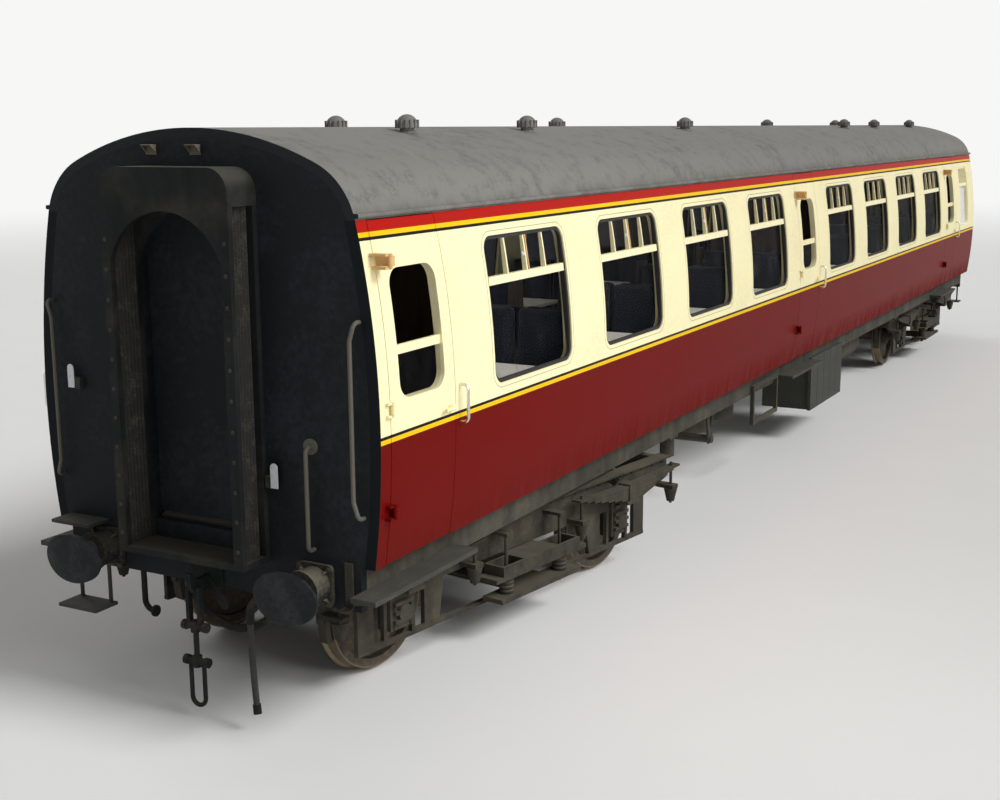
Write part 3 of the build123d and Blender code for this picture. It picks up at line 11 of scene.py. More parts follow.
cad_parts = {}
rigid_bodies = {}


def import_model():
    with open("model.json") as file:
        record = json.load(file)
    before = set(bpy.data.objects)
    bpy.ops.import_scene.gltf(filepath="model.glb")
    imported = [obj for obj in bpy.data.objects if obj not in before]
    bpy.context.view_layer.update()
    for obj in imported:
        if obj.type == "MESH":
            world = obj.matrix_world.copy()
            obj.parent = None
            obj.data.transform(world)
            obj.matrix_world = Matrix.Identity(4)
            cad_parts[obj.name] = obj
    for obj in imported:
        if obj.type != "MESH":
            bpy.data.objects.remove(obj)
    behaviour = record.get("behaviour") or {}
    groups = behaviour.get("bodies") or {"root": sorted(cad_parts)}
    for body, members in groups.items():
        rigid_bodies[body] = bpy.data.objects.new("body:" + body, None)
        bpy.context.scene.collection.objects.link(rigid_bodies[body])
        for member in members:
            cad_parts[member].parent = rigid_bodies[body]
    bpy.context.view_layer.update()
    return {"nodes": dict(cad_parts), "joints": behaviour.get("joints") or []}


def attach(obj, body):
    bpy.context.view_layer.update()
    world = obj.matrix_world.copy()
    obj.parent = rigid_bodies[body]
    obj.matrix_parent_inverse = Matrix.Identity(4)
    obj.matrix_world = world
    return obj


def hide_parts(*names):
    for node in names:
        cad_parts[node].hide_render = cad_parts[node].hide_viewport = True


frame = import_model()

bl_info = {
    "name": "Passenger coach dresser",
    "version": (1, 0, 0),
    "blender": (4, 5, 0),
    "location": "3D View > Sidebar > Coach",
    "description": "Finishes, soft pieces, trim and stage for a railway passenger coach",
    "category": "Object",
}

SIDES = {"front": -1, "back": 1}
ENDS = {"near": -1, "far": 1}
NODES = frame["nodes"]
JOINTS = {joint["child"]: joint for joint in frame["joints"]}

# The saloons' windows: middle of the first in each saloon, spacing, number and height of the middle
WINDOW_STARTS = (-7.789, 0.696)
WINDOW_PITCH = 1.847
WINDOWS = 4
WINDOW_MIDDLE = 2.5875

# The curve of the coach's sides: half width where they are widest, that height, and the radius
HALF_WIDTH = 1.371
WIDEST_Z = 2.002
SIDE_RADIUS = 5.770

# Where the paint of sides and roof gives way to the end faces
END_FACE = (9.8255, 9.8285)


# Settings that a user would change
def colour(name, description, default):
    """A colour setting."""
    return bpy.props.FloatVectorProperty(
        name=name, description=description, default=default, subtype="COLOR", size=3, min=0, max=1
    )


def length(name, description, default):
    """A length setting, in metres."""
    return bpy.props.FloatProperty(
        name=name, description=description, default=default, unit="LENGTH", precision=4
    )


def number(name, description, default, **limits):
    """A plain number setting."""
    return bpy.props.FloatProperty(name=name, description=description, default=default, **limits)


def position(name, description, default):
    """A point setting, in metres."""
    return bpy.props.FloatVectorProperty(
        name=name, description=description, default=default, subtype="TRANSLATION", unit="LENGTH"
    )


def direction(name, description, default):
    """A direction setting."""
    return bpy.props.FloatVectorProperty(
        name=name, description=description, default=default, subtype="DIRECTION"
    )


def angle(name, description, default):
    """An angle setting, in radians."""
    return bpy.props.FloatProperty(name=name, description=description, default=default, unit="ROTATION")


class CoachColours(bpy.types.PropertyGroup):
    crimson: colour("Crimson", "Side panels below the waist", (0.140, 0.0030, 0.0022))
    cream: colour("Cream", "Side panels between waist and cantrail", (0.93, 0.85, 0.52))
    cantrail_red: colour("Cantrail red", "Band along the top of the sides", (0.42, 0.0100, 0.0060))
    yellow: colour("Lining yellow", "Yellow lining", (0.86, 0.54, 0.012))
    black: colour("Lining black", "Black lining and window seals", (0.012, 0.011, 0.010))
    roof: colour("Roof grey", "Roof sheets and ventilators", (0.200, 0.197, 0.181))
    end: colour("End black", "End walls, end doors and headstocks", (0.0115, 0.0143, 0.0166))
    gangway: colour("Gangway black", "Gangway frames", (0.0140, 0.0154, 0.0160))
    underframe: colour("Underframe grey", "Steel below the floor", (0.060, 0.056, 0.044))
    bogie: colour("Bogie grey", "Bogie frames and springs", (0.050, 0.0455, 0.0345))
    dust: colour("Road dust", "Pale dust on top of the running gear", (0.172, 0.153, 0.114))
    rust: colour("Rust", "Brown rust on bare steel", (0.118, 0.064, 0.033))
    steel: colour("Worn steel", "Rubbed wheel treads", (0.27, 0.21, 0.13))
    bright: colour("Bright metal", "Handles and rails on the sides", (0.72, 0.71, 0.68))
    timber: colour("Step timber", "Footboards and boxes", (0.047, 0.047, 0.040))
    rubber: colour("Rubber", "Hose and gangway bellows", (0.028, 0.027, 0.024))
    cloth: colour("Seat cloth", "Woven seat covers", (0.0110, 0.0145, 0.0290))
    panel: colour("Panelling", "Partitions and seat frames", (0.058, 0.032, 0.018))
    lino: colour("Floor covering", "Floor inside the saloons", (0.030, 0.028, 0.026))
    laminate: colour("Table tops", "Pale table laminate", (0.90, 0.87, 0.78))
    # The dark glass tint is partly the glass's own colour and partly a faint painted shade over the saloons
    # seen through it
    glass: colour("Glass", "Window tint", (0.006, 0.008, 0.012))
    opal: colour("Opal glass", "Lavatory windows", (0.78, 0.78, 0.74))
    buffer: colour("Buffer black", "Faces of the buffers", (0.0130, 0.0150, 0.0164))
    tan: colour("Tan", "Varnished blocks at the doors and slides in the toplights", (0.66, 0.37, 0.14))
    plate: colour("Plate white", "Blank plates at the ends", (0.72, 0.74, 0.76))
    stage: colour("Stage", "Plain floor and backdrop", (0.93, 0.93, 0.92))
    # Painted shade: the flat dark glow that the floor shows where it is seen through the windows
    painted_window_shade: colour("Unlit", "Surroundings as seen through the windows", (0.016, 0.017, 0.020))


class CoachLining(bpy.types.PropertyGroup):
    waist_yellow: length("Waist yellow", "Lower edge of the waist's yellow line", 1.950)
    waist_black: length("Waist black", "Lower edge of the waist's black line", 1.977)
    waist_top: length("Waist top", "Upper edge of the waist's lining", 1.992)
    cantrail_black: length("Cantrail black", "Lower edge of the cantrail's black line", 3.161)
    cantrail_yellow: length("Cantrail yellow", "Lower edge of the cantrail's yellow line", 3.181)
    cantrail_red: length("Cantrail red", "Lower edge of the cantrail's red band", 3.209)
    roof_edge: length("Roof edge", "Upper edge of the painted side", 3.283)


class CoachSeats(bpy.types.PropertyGroup):
    voxel: length("Voxel", "Grain of the remeshed pads", 0.040)
    pressure: number("Pressure", "Stuffing pressure of the pads", 4.0)
    swell: length("Swell", "Most that a pad may swell", 0.015)
    fill: number("Fill", "How tight the pads are", 0.7, min=0, max=1)


class CoachHose(bpy.types.PropertyGroup):
    diameter: length("Diameter", "Outside of the brake hose", 0.042)
    length: length("Length", "Brake hose from pipe to end fitting", 0.533)


class CoachStage(bpy.types.PropertyGroup):
    camera: position("Camera", "Place of the camera", (-16.4743, -5.7909, 3.8038))
    lens: number("Lens", "Focal length in mm", 49.353)
    sensor: number("Sensor", "Width of the camera's picture in mm", 36.0)
    yaw: angle("Yaw", "Camera's turn from +X towards +Y", 0.497822)
    pitch: angle("Pitch", "Camera's tilt up from level", -0.195558)
    roll: angle("Roll", "Camera's turn about its own line of sight", -0.006165)
    floor_radius: length("Floor radius", "Reach of the floor", 160.0)
    fade_start: length("Fade start", "Where the floor starts to turn into backdrop", 22.0)
    fade_end: length("Fade end", "Where the floor has become backdrop", 60.0)
    sun: number("Key light", "Strength of the key light", 2.15)
    sun_from: direction("Key from", "Direction that the key light comes from", (0.10, -0.74, 0.66))
    back: number("Back light", "Strength of the back light", 0.6)
    back_from: direction("Back from", "Direction that the back light comes from", (0.30, 0.85, 0.42))
    sun_spread: angle("Key spread", "Apparent size of the key and back lights", math.radians(24))
    lamp: number("Side light", "Power of the light near the first door", 55.0)
    lamp_at: position("Side light place", "Place of the light near the first door", (-11.5, -9.5, 5.0))
    lamp_to: position("Side light aim", "Point that the side light looks at", (-7.5, -1.3, 2.0))
    lamp_size: length("Side light size", "Edge of the side light", 3.5)
    lamp_spread: angle("Side light spread", "Cone of the side light", math.radians(75))
    sky: number("Fill light", "Strength of the even light all round", 0.20)


# Shader expressions
class Value:
    """One socket of a finish; arithmetic on it adds Math nodes."""

    def __init__(self, finish, socket):
        self.finish = finish
        self.socket = socket

    def __getitem__(self, output):
        return Value(self.finish, self.socket.node.outputs[output])

    def math(self, operation, first, second):
        return self.finish.node("ShaderNodeMath", {"operation": operation}, {0: first, 1: second})

    def __add__(self, other):
        return self.math("ADD", self, other)

    def __radd__(self, other):
        return self.math("ADD", other, self)

    def __sub__(self, other):
        return self.math("SUBTRACT", self, other)

    def __rsub__(self, other):
        return self.math("SUBTRACT", other, self)

    def __mul__(self, other):
        return self.math("MULTIPLY", self, other)

    def __mod__(self, other):
        return self.math("FLOORED_MODULO", self, other)

    def __pow__(self, other):
        return self.math("POWER", self, other)

    def __abs__(self):
        return self.math("ABSOLUTE", self, 0)

    def step(self, low, high):
        """A mask that rises smoothly from 0 at low to 1 at high."""
        return self.finish.node(
            "ShaderNodeMapRange",
            {"interpolation_type": "SMOOTHSTEP"},
            {"Value": self, "From Min": low, "From Max": high},
        )


class Finish:
    """A procedural material on a piece's own coordinates."""

    def __init__(self, name, **constants):
        self.material = bpy.data.materials.new(name)
        self.material.use_nodes = True
        self.tree = self.material.node_tree
        self.shader = self.tree.nodes["Principled BSDF"]
        for socket, value in constants.items():
            self.shader.inputs[socket.replace("_", " ")].default_value = value
        self.here = self.node("ShaderNodeTexCoord")["Object"]
        place = self.node("ShaderNodeSeparateXYZ", {}, {0: self.here})
        self.x, self.y, self.z = place["X"], place["Y"], place["Z"]

    def node(self, kind, settings=None, sockets=None):
        """Add a node: its settings are set first, then its sockets get values or links."""
        node = self.tree.nodes.new(kind)
        for key, value in (settings or {}).items():
            if key == "stops":
                while len(node.color_ramp.elements) < len(value):
                    node.color_ramp.elements.new(1)
                for stop, (at, shade) in zip(node.color_ramp.elements, value):
                    stop.position = at
                    stop.color = (*shade, 1)
            elif key == "ramp":
                node.color_ramp.interpolation = value
            else:
                setattr(node, key, value)
        for key, value in (sockets or {}).items():
            self.feed(node.inputs[key], value)
        return Value(self, node.outputs[0])

    def feed(self, socket, value):
        """Link a value to a socket, or set the socket to a number or colour."""
        if isinstance(value, Value):
            self.tree.links.new(value.socket, socket)
        elif hasattr(socket.default_value, "__len__") and len(socket.default_value) == 4:
            socket.default_value = (*value, 1)
        else:
            socket.default_value = value

    def mix(self, first, second, mask):
        """One colour turning into another where the mask is 1."""
        return self.node(
            "ShaderNodeMix", {"data_type": "RGBA"}, {0: mask, 6: first, 7: second}
        )[2]

    def noise(self, scale, detail=4.0, roughness=0.55, stretch=(1, 1, 1), shift=0.0):
        """Even noise from 0 to 1, squeezed along the axes by stretch."""
        where = self.node(
            "ShaderNodeMapping",
            {},
            {"Vector": self.here, "Location": (shift, shift, shift), "Scale": stretch},
        )
        return self.node(
            "ShaderNodeTexNoise",
            {"noise_dimensions": "3D"},
            {"Vector": where, "Scale": scale, "Detail": detail, "Roughness": roughness},
        )

    def facing_up(self):
        """How far the surface faces the sky."""
        normal = self.node("ShaderNodeNewGeometry")["Normal"]
        return self.node("ShaderNodeSeparateXYZ", {}, {0: normal})["Z"]

    def bump(self, height, distance, strength):
        """Relief from a height mask, over a distance in metres."""
        normal = self.node(
            "ShaderNodeBump", {}, {"Strength": strength, "Distance": distance, "Height": height}
        )
        self.feed(self.shader.inputs["Normal"], normal)

    def wear(self, **sockets):
        """Link masks or colours to the shader, by socket name with underscores."""
        for name, value in sockets.items():
            self.feed(self.shader.inputs[name.replace("_", " ")], value)
        return self.material


def grimy_steel(name, base, dust, rust, dust_share=0.6, rust_share=0.35, grain=22.0):
    """Painted steel under road dust, with rust where the paint has gone."""
    finish = Finish(name, Metallic=0.0, Specular_IOR_Level=0.15)
    broad = finish.noise(2.6, detail=5)
    fine = finish.noise(grain, detail=6, roughness=0.65)
    streaks = finish.noise(9.0, detail=3, stretch=(1, 1, 0.18), shift=3.7)
    rust_mask = (fine * 0.6 + broad * 0.5).step(0.60, 0.74) * rust_share
    dust_mask = (finish.facing_up().step(0.1, 0.9) * 0.75 + broad.step(0.42, 0.68) * 0.35) * dust_share
    dark = tuple(0.45 * part for part in base)
    shade = finish.mix(dark, base, (streaks * 0.6 + fine * 0.55).step(0.35, 0.72))
    shade = finish.mix(shade, rust, rust_mask)
    shade = finish.mix(shade, dust, dust_mask)
    finish.bump(fine * 0.7 + broad * 0.3, 0.004, 0.5)
    return finish.wear(Base_Color=shade, Roughness=0.62 + fine * 0.3)


def coat(material, *names):
    """Give CAD nodes one finish."""
    for name in names:
        slots = NODES[name].data.materials
        slots.clear()
        slots.append(material)


def like(*starts):
    """Names of the CAD nodes that begin with any of these words."""
    return [name for name in NODES if name.startswith(starts)]


def settle(bm, name, material, body="coach"):
    """Turn a bmesh into a finished piece that rides a body."""
    bmesh.ops.recalc_face_normals(bm, faces=bm.faces)
    mesh = bpy.data.meshes.new(name)
    bm.to_mesh(mesh)
    bm.free()
    mesh.materials.append(material)
    piece = bpy.data.objects.new(name, mesh)
    bpy.context.scene.collection.objects.link(piece)
    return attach(piece, body)


def block(bm, low, high, edge=0.004):
    """A box between two corners, with rounded edges."""
    low, high = Vector(low), Vector(high)
    place = Matrix.Translation((low + high) / 2) @ Matrix.Diagonal((*(high - low), 1))
    made = bmesh.ops.create_cube(bm, size=1, matrix=place)["verts"]
    edges = list({line for vertex in made for line in vertex.link_edges})
    bmesh.ops.bevel(
        bm, geom=edges, offset=edge, offset_type="OFFSET", affect="EDGES", segments=2,
        profile=0.5, material=-1,
    )


def prism(bm, corners, depth):
    """A plate: a flat outline pushed out along a depth vector."""
    face = bm.faces.new([bm.verts.new(corner) for corner in corners])
    pushed = bmesh.ops.extrude_face_region(bm, geom=[face])["geom"]
    moved = [part for part in pushed if isinstance(part, bmesh.types.BMVert)]
    bmesh.ops.translate(bm, vec=depth, verts=moved)


def bolt(bm, place, out, radius, height, sunk=0.002):
    """A hexagon head on a washer, facing along out and sunk a little into its plate."""
    turn = Vector(out).to_track_quat("Z", "Y").to_matrix().to_4x4()
    washer, head = (1.5 * radius, 0.3 * height, 12), (radius, height, 6)
    for size, high, sides in (washer, head):
        middle = Matrix.Translation(place) @ turn @ Matrix.Translation((0, 0, (high - sunk) / 2))
        bmesh.ops.create_cone(
            bm, cap_ends=True, segments=sides, radius1=size, radius2=size, depth=high + sunk, matrix=middle
        )


def bolt_up(bm, node, spots, towards, radius, height):
    """Bolt heads where lines from these spots meet a CAD node."""
    tree = BVHTree.FromObject(NODES[node], bpy.context.evaluated_depsgraph_get())
    for spot in spots:
        place = tree.ray_cast(Vector(spot), Vector(towards))[0]
        if place is not None:
            bolt(bm, place, -Vector(towards), radius, height)


def solid_boxes(node):
    """Lowest and highest corner of each separate solid in a CAD node."""
    bm = bmesh.new()
    bm.from_mesh(NODES[node].data)
    bmesh.ops.remove_doubles(bm, verts=bm.verts, dist=0.0001)
    left, boxes = set(bm.verts), []
    while left:
        group = [left.pop()]
        for vertex in group:
            for line in vertex.link_edges:
                other = line.other_vert(vertex)
                if other in left:
                    left.remove(other)
                    group.append(other)
        corners = [[pick(vertex.co[i] for vertex in group) for i in range(3)] for pick in (min, max)]
        boxes.append([Vector(corner) for corner in corners])
    bm.free()
    return boxes


def side_skin(z):
    """Half the coach's width at a height, which is a number or a shader value."""
    rise = z - WIDEST_Z
    return HALF_WIDTH - SIDE_RADIUS + (SIDE_RADIUS * SIDE_RADIUS - rise * rise) ** 0.5


# Finishes
def end_faces(finish):
    """A mask of the faces at the coach's two ends."""
    return abs(finish.x).step(*END_FACE)


def window_reach(finish, start, half, corner):
    """Distance out from a rounded outline repeated along one saloon, and a mask of that saloon."""
    along = abs((finish.x - start + WINDOW_PITCH / 2) % WINDOW_PITCH - WINDOW_PITCH / 2) - (half[0] - corner)
    up = abs(finish.z - WINDOW_MIDDLE) - (half[1] - corner)
    along, up = along.math("MAXIMUM", along, 0), up.math("MAXIMUM", up, 0)
    first, last = start - WINDOW_PITCH * 0.5, start + WINDOW_PITCH * (WINDOWS - 0.5)
    soft = WINDOW_PITCH * 0.01
    within = finish.x.step(first, first + soft) * (1 - finish.x.step(last - soft, last))
    return (along * along + up * up) ** 0.5 - corner, within


def window_grooves(finish, half=(0.6375, 0.5325), corner=0.13):
    """A fine line round every saloon window, set out from its edge."""
    line = 0
    for start in WINDOW_STARTS:
        reach, within = window_reach(finish, start, half, corner)
        line = line + (1 - abs(reach).step(0.0015, 0.004)) * within
    return line


def window_seals(finish, half=(0.578, 0.473), corner=0.085):
    """The dark rubber that holds every saloon window's glass."""
    seal = 0
    for start in WINDOW_STARTS:
        reach, within = window_reach(finish, start, half, corner)
        seal = seal + reach.step(0.0, 0.002) * within
    return seal


def side_livery(colours, lining):
    """Crimson and cream in bands by height, lined in yellow and black, with light road dirt."""
    soot, joint_dirt, road_dirt = (0.10, 0.04, 0.03), (0.05, 0.035, 0.02), (0.065, 0.032, 0.024)
    finish = Finish("side_livery", Coat_Roughness=0.12, Specular_IOR_Level=0.03)
    bands = (
        (1.0, colours.crimson),
        (lining.waist_yellow, colours.yellow),
        (lining.waist_black, colours.black),
        (lining.waist_top, colours.cream),
        (lining.cantrail_black, colours.black),
        (lining.cantrail_yellow, colours.yellow),
        (lining.cantrail_red, colours.cantrail_red),
    )
    low, high = bands[0][0], lining.roof_edge + 0.2
    across = finish.node(
        "ShaderNodeMapRange", {}, {"Value": finish.z, "From Min": low, "From Max": high}
    )
    paint = finish.node(
        "ShaderNodeValToRGB",
        {"ramp": "CONSTANT", "stops": [((at - low) / (high - low), shade) for at, shade in bands]},
        {"Fac": across},
    )
    cloud = finish.noise(1.4, detail=5)
    fine = finish.noise(34.0, detail=4, shift=1.3)
    streaks = finish.noise(16.0, detail=4, stretch=(1, 1, 0.06), shift=6.1)
    faded = finish.mix(paint, soot, (cloud * fine).step(0.16, 0.5) * 0.12)
    groove = window_grooves(finish)
    faded = finish.mix(faded, joint_dirt, groove * 0.6)
    splash = (1 - finish.z.step(1.16, 1.46)) * (streaks * 0.8 + fine * 0.4).step(0.35, 0.85)
    runs = streaks.step(0.60, 0.82) * 0.07
    dirty = finish.mix(faded, road_dirt, splash * 0.30 + runs)
    blocks = (abs(finish.y) - side_skin(finish.z)).step(0.008, 0.012) * finish.z.step(2.80, 2.82)
    dirty = finish.mix(dirty, colours.tan, blocks * 0.85)
    dirty = finish.mix(dirty, colours.end, end_faces(finish))
    finish.bump(cloud * 0.8 + fine * 0.02 - groove * 0.25, 0.012, 0.22)
    return finish.wear(
        Base_Color=dirty,
        Roughness=0.34 + fine * 0.12 + splash * 0.4 + runs,
        Coat_Weight=0.008 - splash * 0.006,
    )


def roof_sheets(colours):
    """Matt grey roof, mottled by soot and rain."""
    soot = (0.10, 0.092, 0.078)
    finish = Finish("roof_sheets", Specular_IOR_Level=0.25)
    broad = finish.noise(1.1, detail=6, roughness=0.6)
    mottle = finish.noise(7.5, detail=6, roughness=0.68, shift=2.4)
    fine = finish.noise(46.0, detail=4, shift=5.0)
    streaks = finish.noise(5.0, detail=4, stretch=(1, 0.16, 0.16), shift=8.8)
    dark = tuple(0.50 * part for part in colours.roof)
    pale = tuple(min(1.0, 1.45 * part) for part in colours.roof)
    shade = finish.mix(colours.roof, dark, (mottle * 0.75 + broad * 0.35).step(0.52, 0.74) * 0.8)
    shade = finish.mix(shade, pale, (mottle * 0.5 + fine * 0.5 + streaks * 0.3).step(0.68, 0.86) * 0.65)
    edge = 1 - finish.z.step(3.27, 3.42)
    shade = finish.mix(shade, soot, edge * streaks.step(0.35, 0.7) * 0.8)
    shade = finish.mix(shade, colours.end, end_faces(finish))
    finish.bump(mottle * 0.5 + fine * 0.4, 0.004, 0.4)
    return finish.wear(Base_Color=shade, Roughness=0.70 + fine * 0.22)


def end_black(colours):
    """Blue-black end paint with brake dust towards the bottom."""
    faded = (0.027, 0.032, 0.0365)
    finish = Finish("end_black", Specular_IOR_Level=0.10)
    broad = finish.noise(2.2, detail=6, roughness=0.62)
    fine = finish.noise(26.0, detail=5, shift=4.2)
    streaks = finish.noise(11.0, detail=4, stretch=(1, 1, 0.1), shift=1.9)
    shade = finish.mix(colours.end, faded, (broad * 0.7 + fine * 0.4).step(0.50, 0.72) * 0.7)
    low = 1 - finish.z.step(1.0, 1.75)
    shade = finish.mix(shade, colours.gangway, (low * 0.8 + 0.2) * streaks.step(0.45, 0.75) * 0.8)
    finish.bump(broad * 0.5 + fine * 0.4, 0.004, 0.35)
    return finish.wear(Base_Color=shade, Roughness=0.46 + broad * 0.3)


def cream_frames(colours):
    """Cream paint on window frames, a little soiled, with dark seals."""
    soil = (0.36, 0.29, 0.18)
    finish = Finish("cream_frames", Specular_IOR_Level=0.45)
    fine = finish.noise(30.0, detail=5)
    shade = finish.mix(colours.cream, soil, fine.step(0.5, 0.75) * 0.35)
    seal = window_seals(finish)
    shade = finish.mix(shade, colours.black, seal)
    return finish.wear(Base_Color=shade, Roughness=0.3 + fine * 0.2 + seal * 0.3)


def clear_glass(colours):
    """Clear saloon glass with rain marks, opal at the lavatories; its dark tint is partly the glass's own and
    partly a faint painted shade over the saloons behind.
    """
    rain_marks, lavatories = (0.055, 0.057, 0.056), 8.30
    finish = Finish("clear_glass", Specular_IOR_Level=0.12, IOR=1.5)
    marks = finish.noise(7.0, detail=6, roughness=0.7, stretch=(1, 1, 0.4))
    film = marks.step(0.50, 0.74)
    opal = finish.x.step(lavatories, lavatories + 0.01)
    # The dark tint laid over the view in is partly the glass's own colour and partly painted shade
    shade = finish.mix(colours.glass, rain_marks, film * 0.5)
    shade = finish.mix(shade, colours.opal, opal)
    clear = 0.06 + film * 0.12
    return finish.wear(
        Base_Color=shade, Alpha=clear + (0.94 - clear) * opal, Roughness=0.05 + film * 0.10 + opal * 0.2
    )


def polished(colours):
    """Bright handrails with a little tarnish; those on the ends are painted and dusty."""
    tarnish = (0.36, 0.34, 0.30)
    finish = Finish("bright_metal")
    fine = finish.noise(60.0, detail=4)
    painted = abs(finish.x).step(9.80, 9.82)
    shade = finish.mix(colours.bright, tarnish, fine.step(0.5, 0.8) * 0.5)
    dusty = finish.mix(colours.gangway, colours.dust, 0.35 + fine * 0.3)
    shade = finish.mix(shade, dusty, painted)
    metal = (1.0 - fine.step(0.55, 0.85) * 0.3) * (1 - painted)
    return finish.wear(Base_Color=shade, Metallic=metal, Roughness=0.16 + fine * 0.2 + painted * 0.4)


def planked_timber(colours):
    """Weathered boards, with grain along the coach."""
    finish = Finish("planked_timber", Specular_IOR_Level=0.25)
    grain = finish.noise(60.0, detail=5, stretch=(0.06, 1, 1))
    broad = finish.noise(4.0, detail=5, shift=2.0)
    pale = tuple(1.6 * part for part in colours.timber)
    shade = finish.mix(colours.timber, pale, (grain * 0.7 + broad * 0.4).step(0.48, 0.78))
    shade = finish.mix(shade, colours.dust, finish.facing_up().step(0.4, 1.0) * broad * 0.2)
    finish.bump(grain, 0.003, 0.6)
    return finish.wear(Base_Color=shade, Roughness=0.75 + grain * 0.2)


def varnished_panels(colours):
    """Brown varnished partitions."""
    finish = Finish("varnished_panels", Coat_Roughness=0.2)
    grain = finish.noise(16.0, detail=6, roughness=0.6, stretch=(1, 1, 0.08))
    dark = tuple(0.4 * part for part in colours.panel)
    shade = finish.mix(colours.panel, dark, grain.step(0.4, 0.7))
    return finish.wear(Base_Color=shade, Roughness=0.34 + grain * 0.15, Coat_Weight=0.3)


def speckled(name, base, speck, share, roughness):
    """A floor covering or laminate with fine specks."""
    finish = Finish(name, Specular_IOR_Level=0.4)
    fine = finish.noise(90.0, detail=3)
    broad = finish.noise(5.0, detail=4, shift=3.0)
    shade = finish.mix(base, speck, (fine * 0.6 + broad * 0.4).step(0.50, 0.66) * share)
    return finish.wear(Base_Color=shade, Roughness=roughness + broad * 0.2)


def seat_weave(colours):
    """Navy seat cloth with a fine woven figure."""
    finish = Finish("seat_weave", Specular_IOR_Level=0.2, Sheen_Weight=0.3, Sheen_Roughness=0.5)
    threads = 160
    one = abs((finish.x * threads + finish.z * threads) % 1 - 0.5)
    two = abs((finish.y * threads - finish.z * threads) % 1 - 0.5)
    weave = one * two * 4
    worn = finish.noise(3.0, detail=5)
    pale = tuple(2.6 * part for part in colours.cloth)
    shade = finish.mix(colours.cloth, pale, weave.step(0.2, 0.8) * 0.5 + worn.step(0.5, 0.7) * 0.25)
    finish.bump(weave, 0.0015, 0.5)
    return finish.wear(Base_Color=shade, Roughness=0.8 + worn * 0.15)


def dusty_rubber(colours):
    """Old rubber, greyed by dust."""
    finish = Finish("dusty_rubber", Specular_IOR_Level=0.3)
    broad = finish.noise(9.0, detail=5)
    fine = finish.noise(70.0, detail=4, shift=2.0)
    shade = finish.mix(colours.rubber, colours.dust, (broad * 0.6 + fine * 0.4).step(0.46, 0.74) * 0.45)
    finish.bump(fine, 0.0012, 0.5)
    return finish.wear(Base_Color=shade, Roughness=0.66 + broad * 0.25)


def buffer_steel(colours, face=10.12):
    """Greased black buffer faces on dusty housings."""
    worn = (0.034, 0.039, 0.042)
    finish = Finish("buffer_steel", Specular_IOR_Level=0.12)
    broad = finish.noise(5.0, detail=5)
    fine = finish.noise(36.0, detail=6, roughness=0.65, shift=2.7)
    head = abs(finish.x).step(face, face + 0.02)
    rubbed = finish.mix(colours.buffer, worn, (broad * 0.6 + fine * 0.5).step(0.46, 0.74))
    settled = (fine * 0.6 + finish.facing_up() * 0.3).step(0.1, 0.6) * 0.75
    dusty = finish.mix(colours.gangway, colours.dust, settled)
    finish.bump(fine, 0.003, 0.4)
    shade = finish.mix(dusty, rubbed, head)
    return finish.wear(Base_Color=shade, Roughness=0.72 - head * 0.22 + fine * 0.15)


def tan_wood(colours):
    """Varnished wood of the toplights' slides."""
    finish = Finish("tan_wood", Specular_IOR_Level=0.4)
    grain = finish.noise(40.0, detail=5, stretch=(1, 1, 0.08))
    dark = tuple(0.55 * part for part in colours.tan)
    shade = finish.mix(colours.tan, dark, grain.step(0.4, 0.7))
    return finish.wear(Base_Color=shade, Roughness=0.4 + grain * 0.2)


def blank_plate(colours):
    """White enamel with a little soot."""
    soot = (0.25, 0.25, 0.24)
    finish = Finish("blank_plate", Specular_IOR_Level=0.4)
    fine = finish.noise(40.0, detail=5)
    shade = finish.mix(colours.plate, soot, fine.step(0.52, 0.78) * 0.5)
    return finish.wear(Base_Color=shade, Roughness=0.35 + fine * 0.2)


def wheel_steel(name, centre, turn, colours):
    """Dusty wheel with a rubbed tread; the pattern is centred on the axle."""
    finish = Finish(name, Specular_IOR_Level=0.4)
    local = finish.node(
        "ShaderNodeMapping", {"vector_type": "TEXTURE"},
        {"Vector": finish.here, "Location": centre, "Rotation": (0, 0, turn)},
    )
    place = finish.node("ShaderNodeSeparateXYZ", {}, {0: local})
    reach = (place["X"] * place["X"] + place["Z"] * place["Z"]) ** 0.5
    fine = finish.noise(30.0, detail=6, roughness=0.65)
    tread = reach.step(0.440, 0.453)
    hub = 1 - reach.step(0.10, 0.19)
    shade = finish.mix(colours.bogie, colours.rust, fine.step(0.42, 0.66) * 0.7)
    shade = finish.mix(shade, colours.dust, fine.step(0.5, 0.7) * 0.3 + hub * 0.25)
    shade = finish.mix(shade, colours.steel, tread * (0.45 + fine * 0.4))
    finish.bump(fine, 0.003, 0.4)
    return finish.wear(Base_Color=shade, Metallic=tread * 0.75, Roughness=0.72 - tread * 0.34)


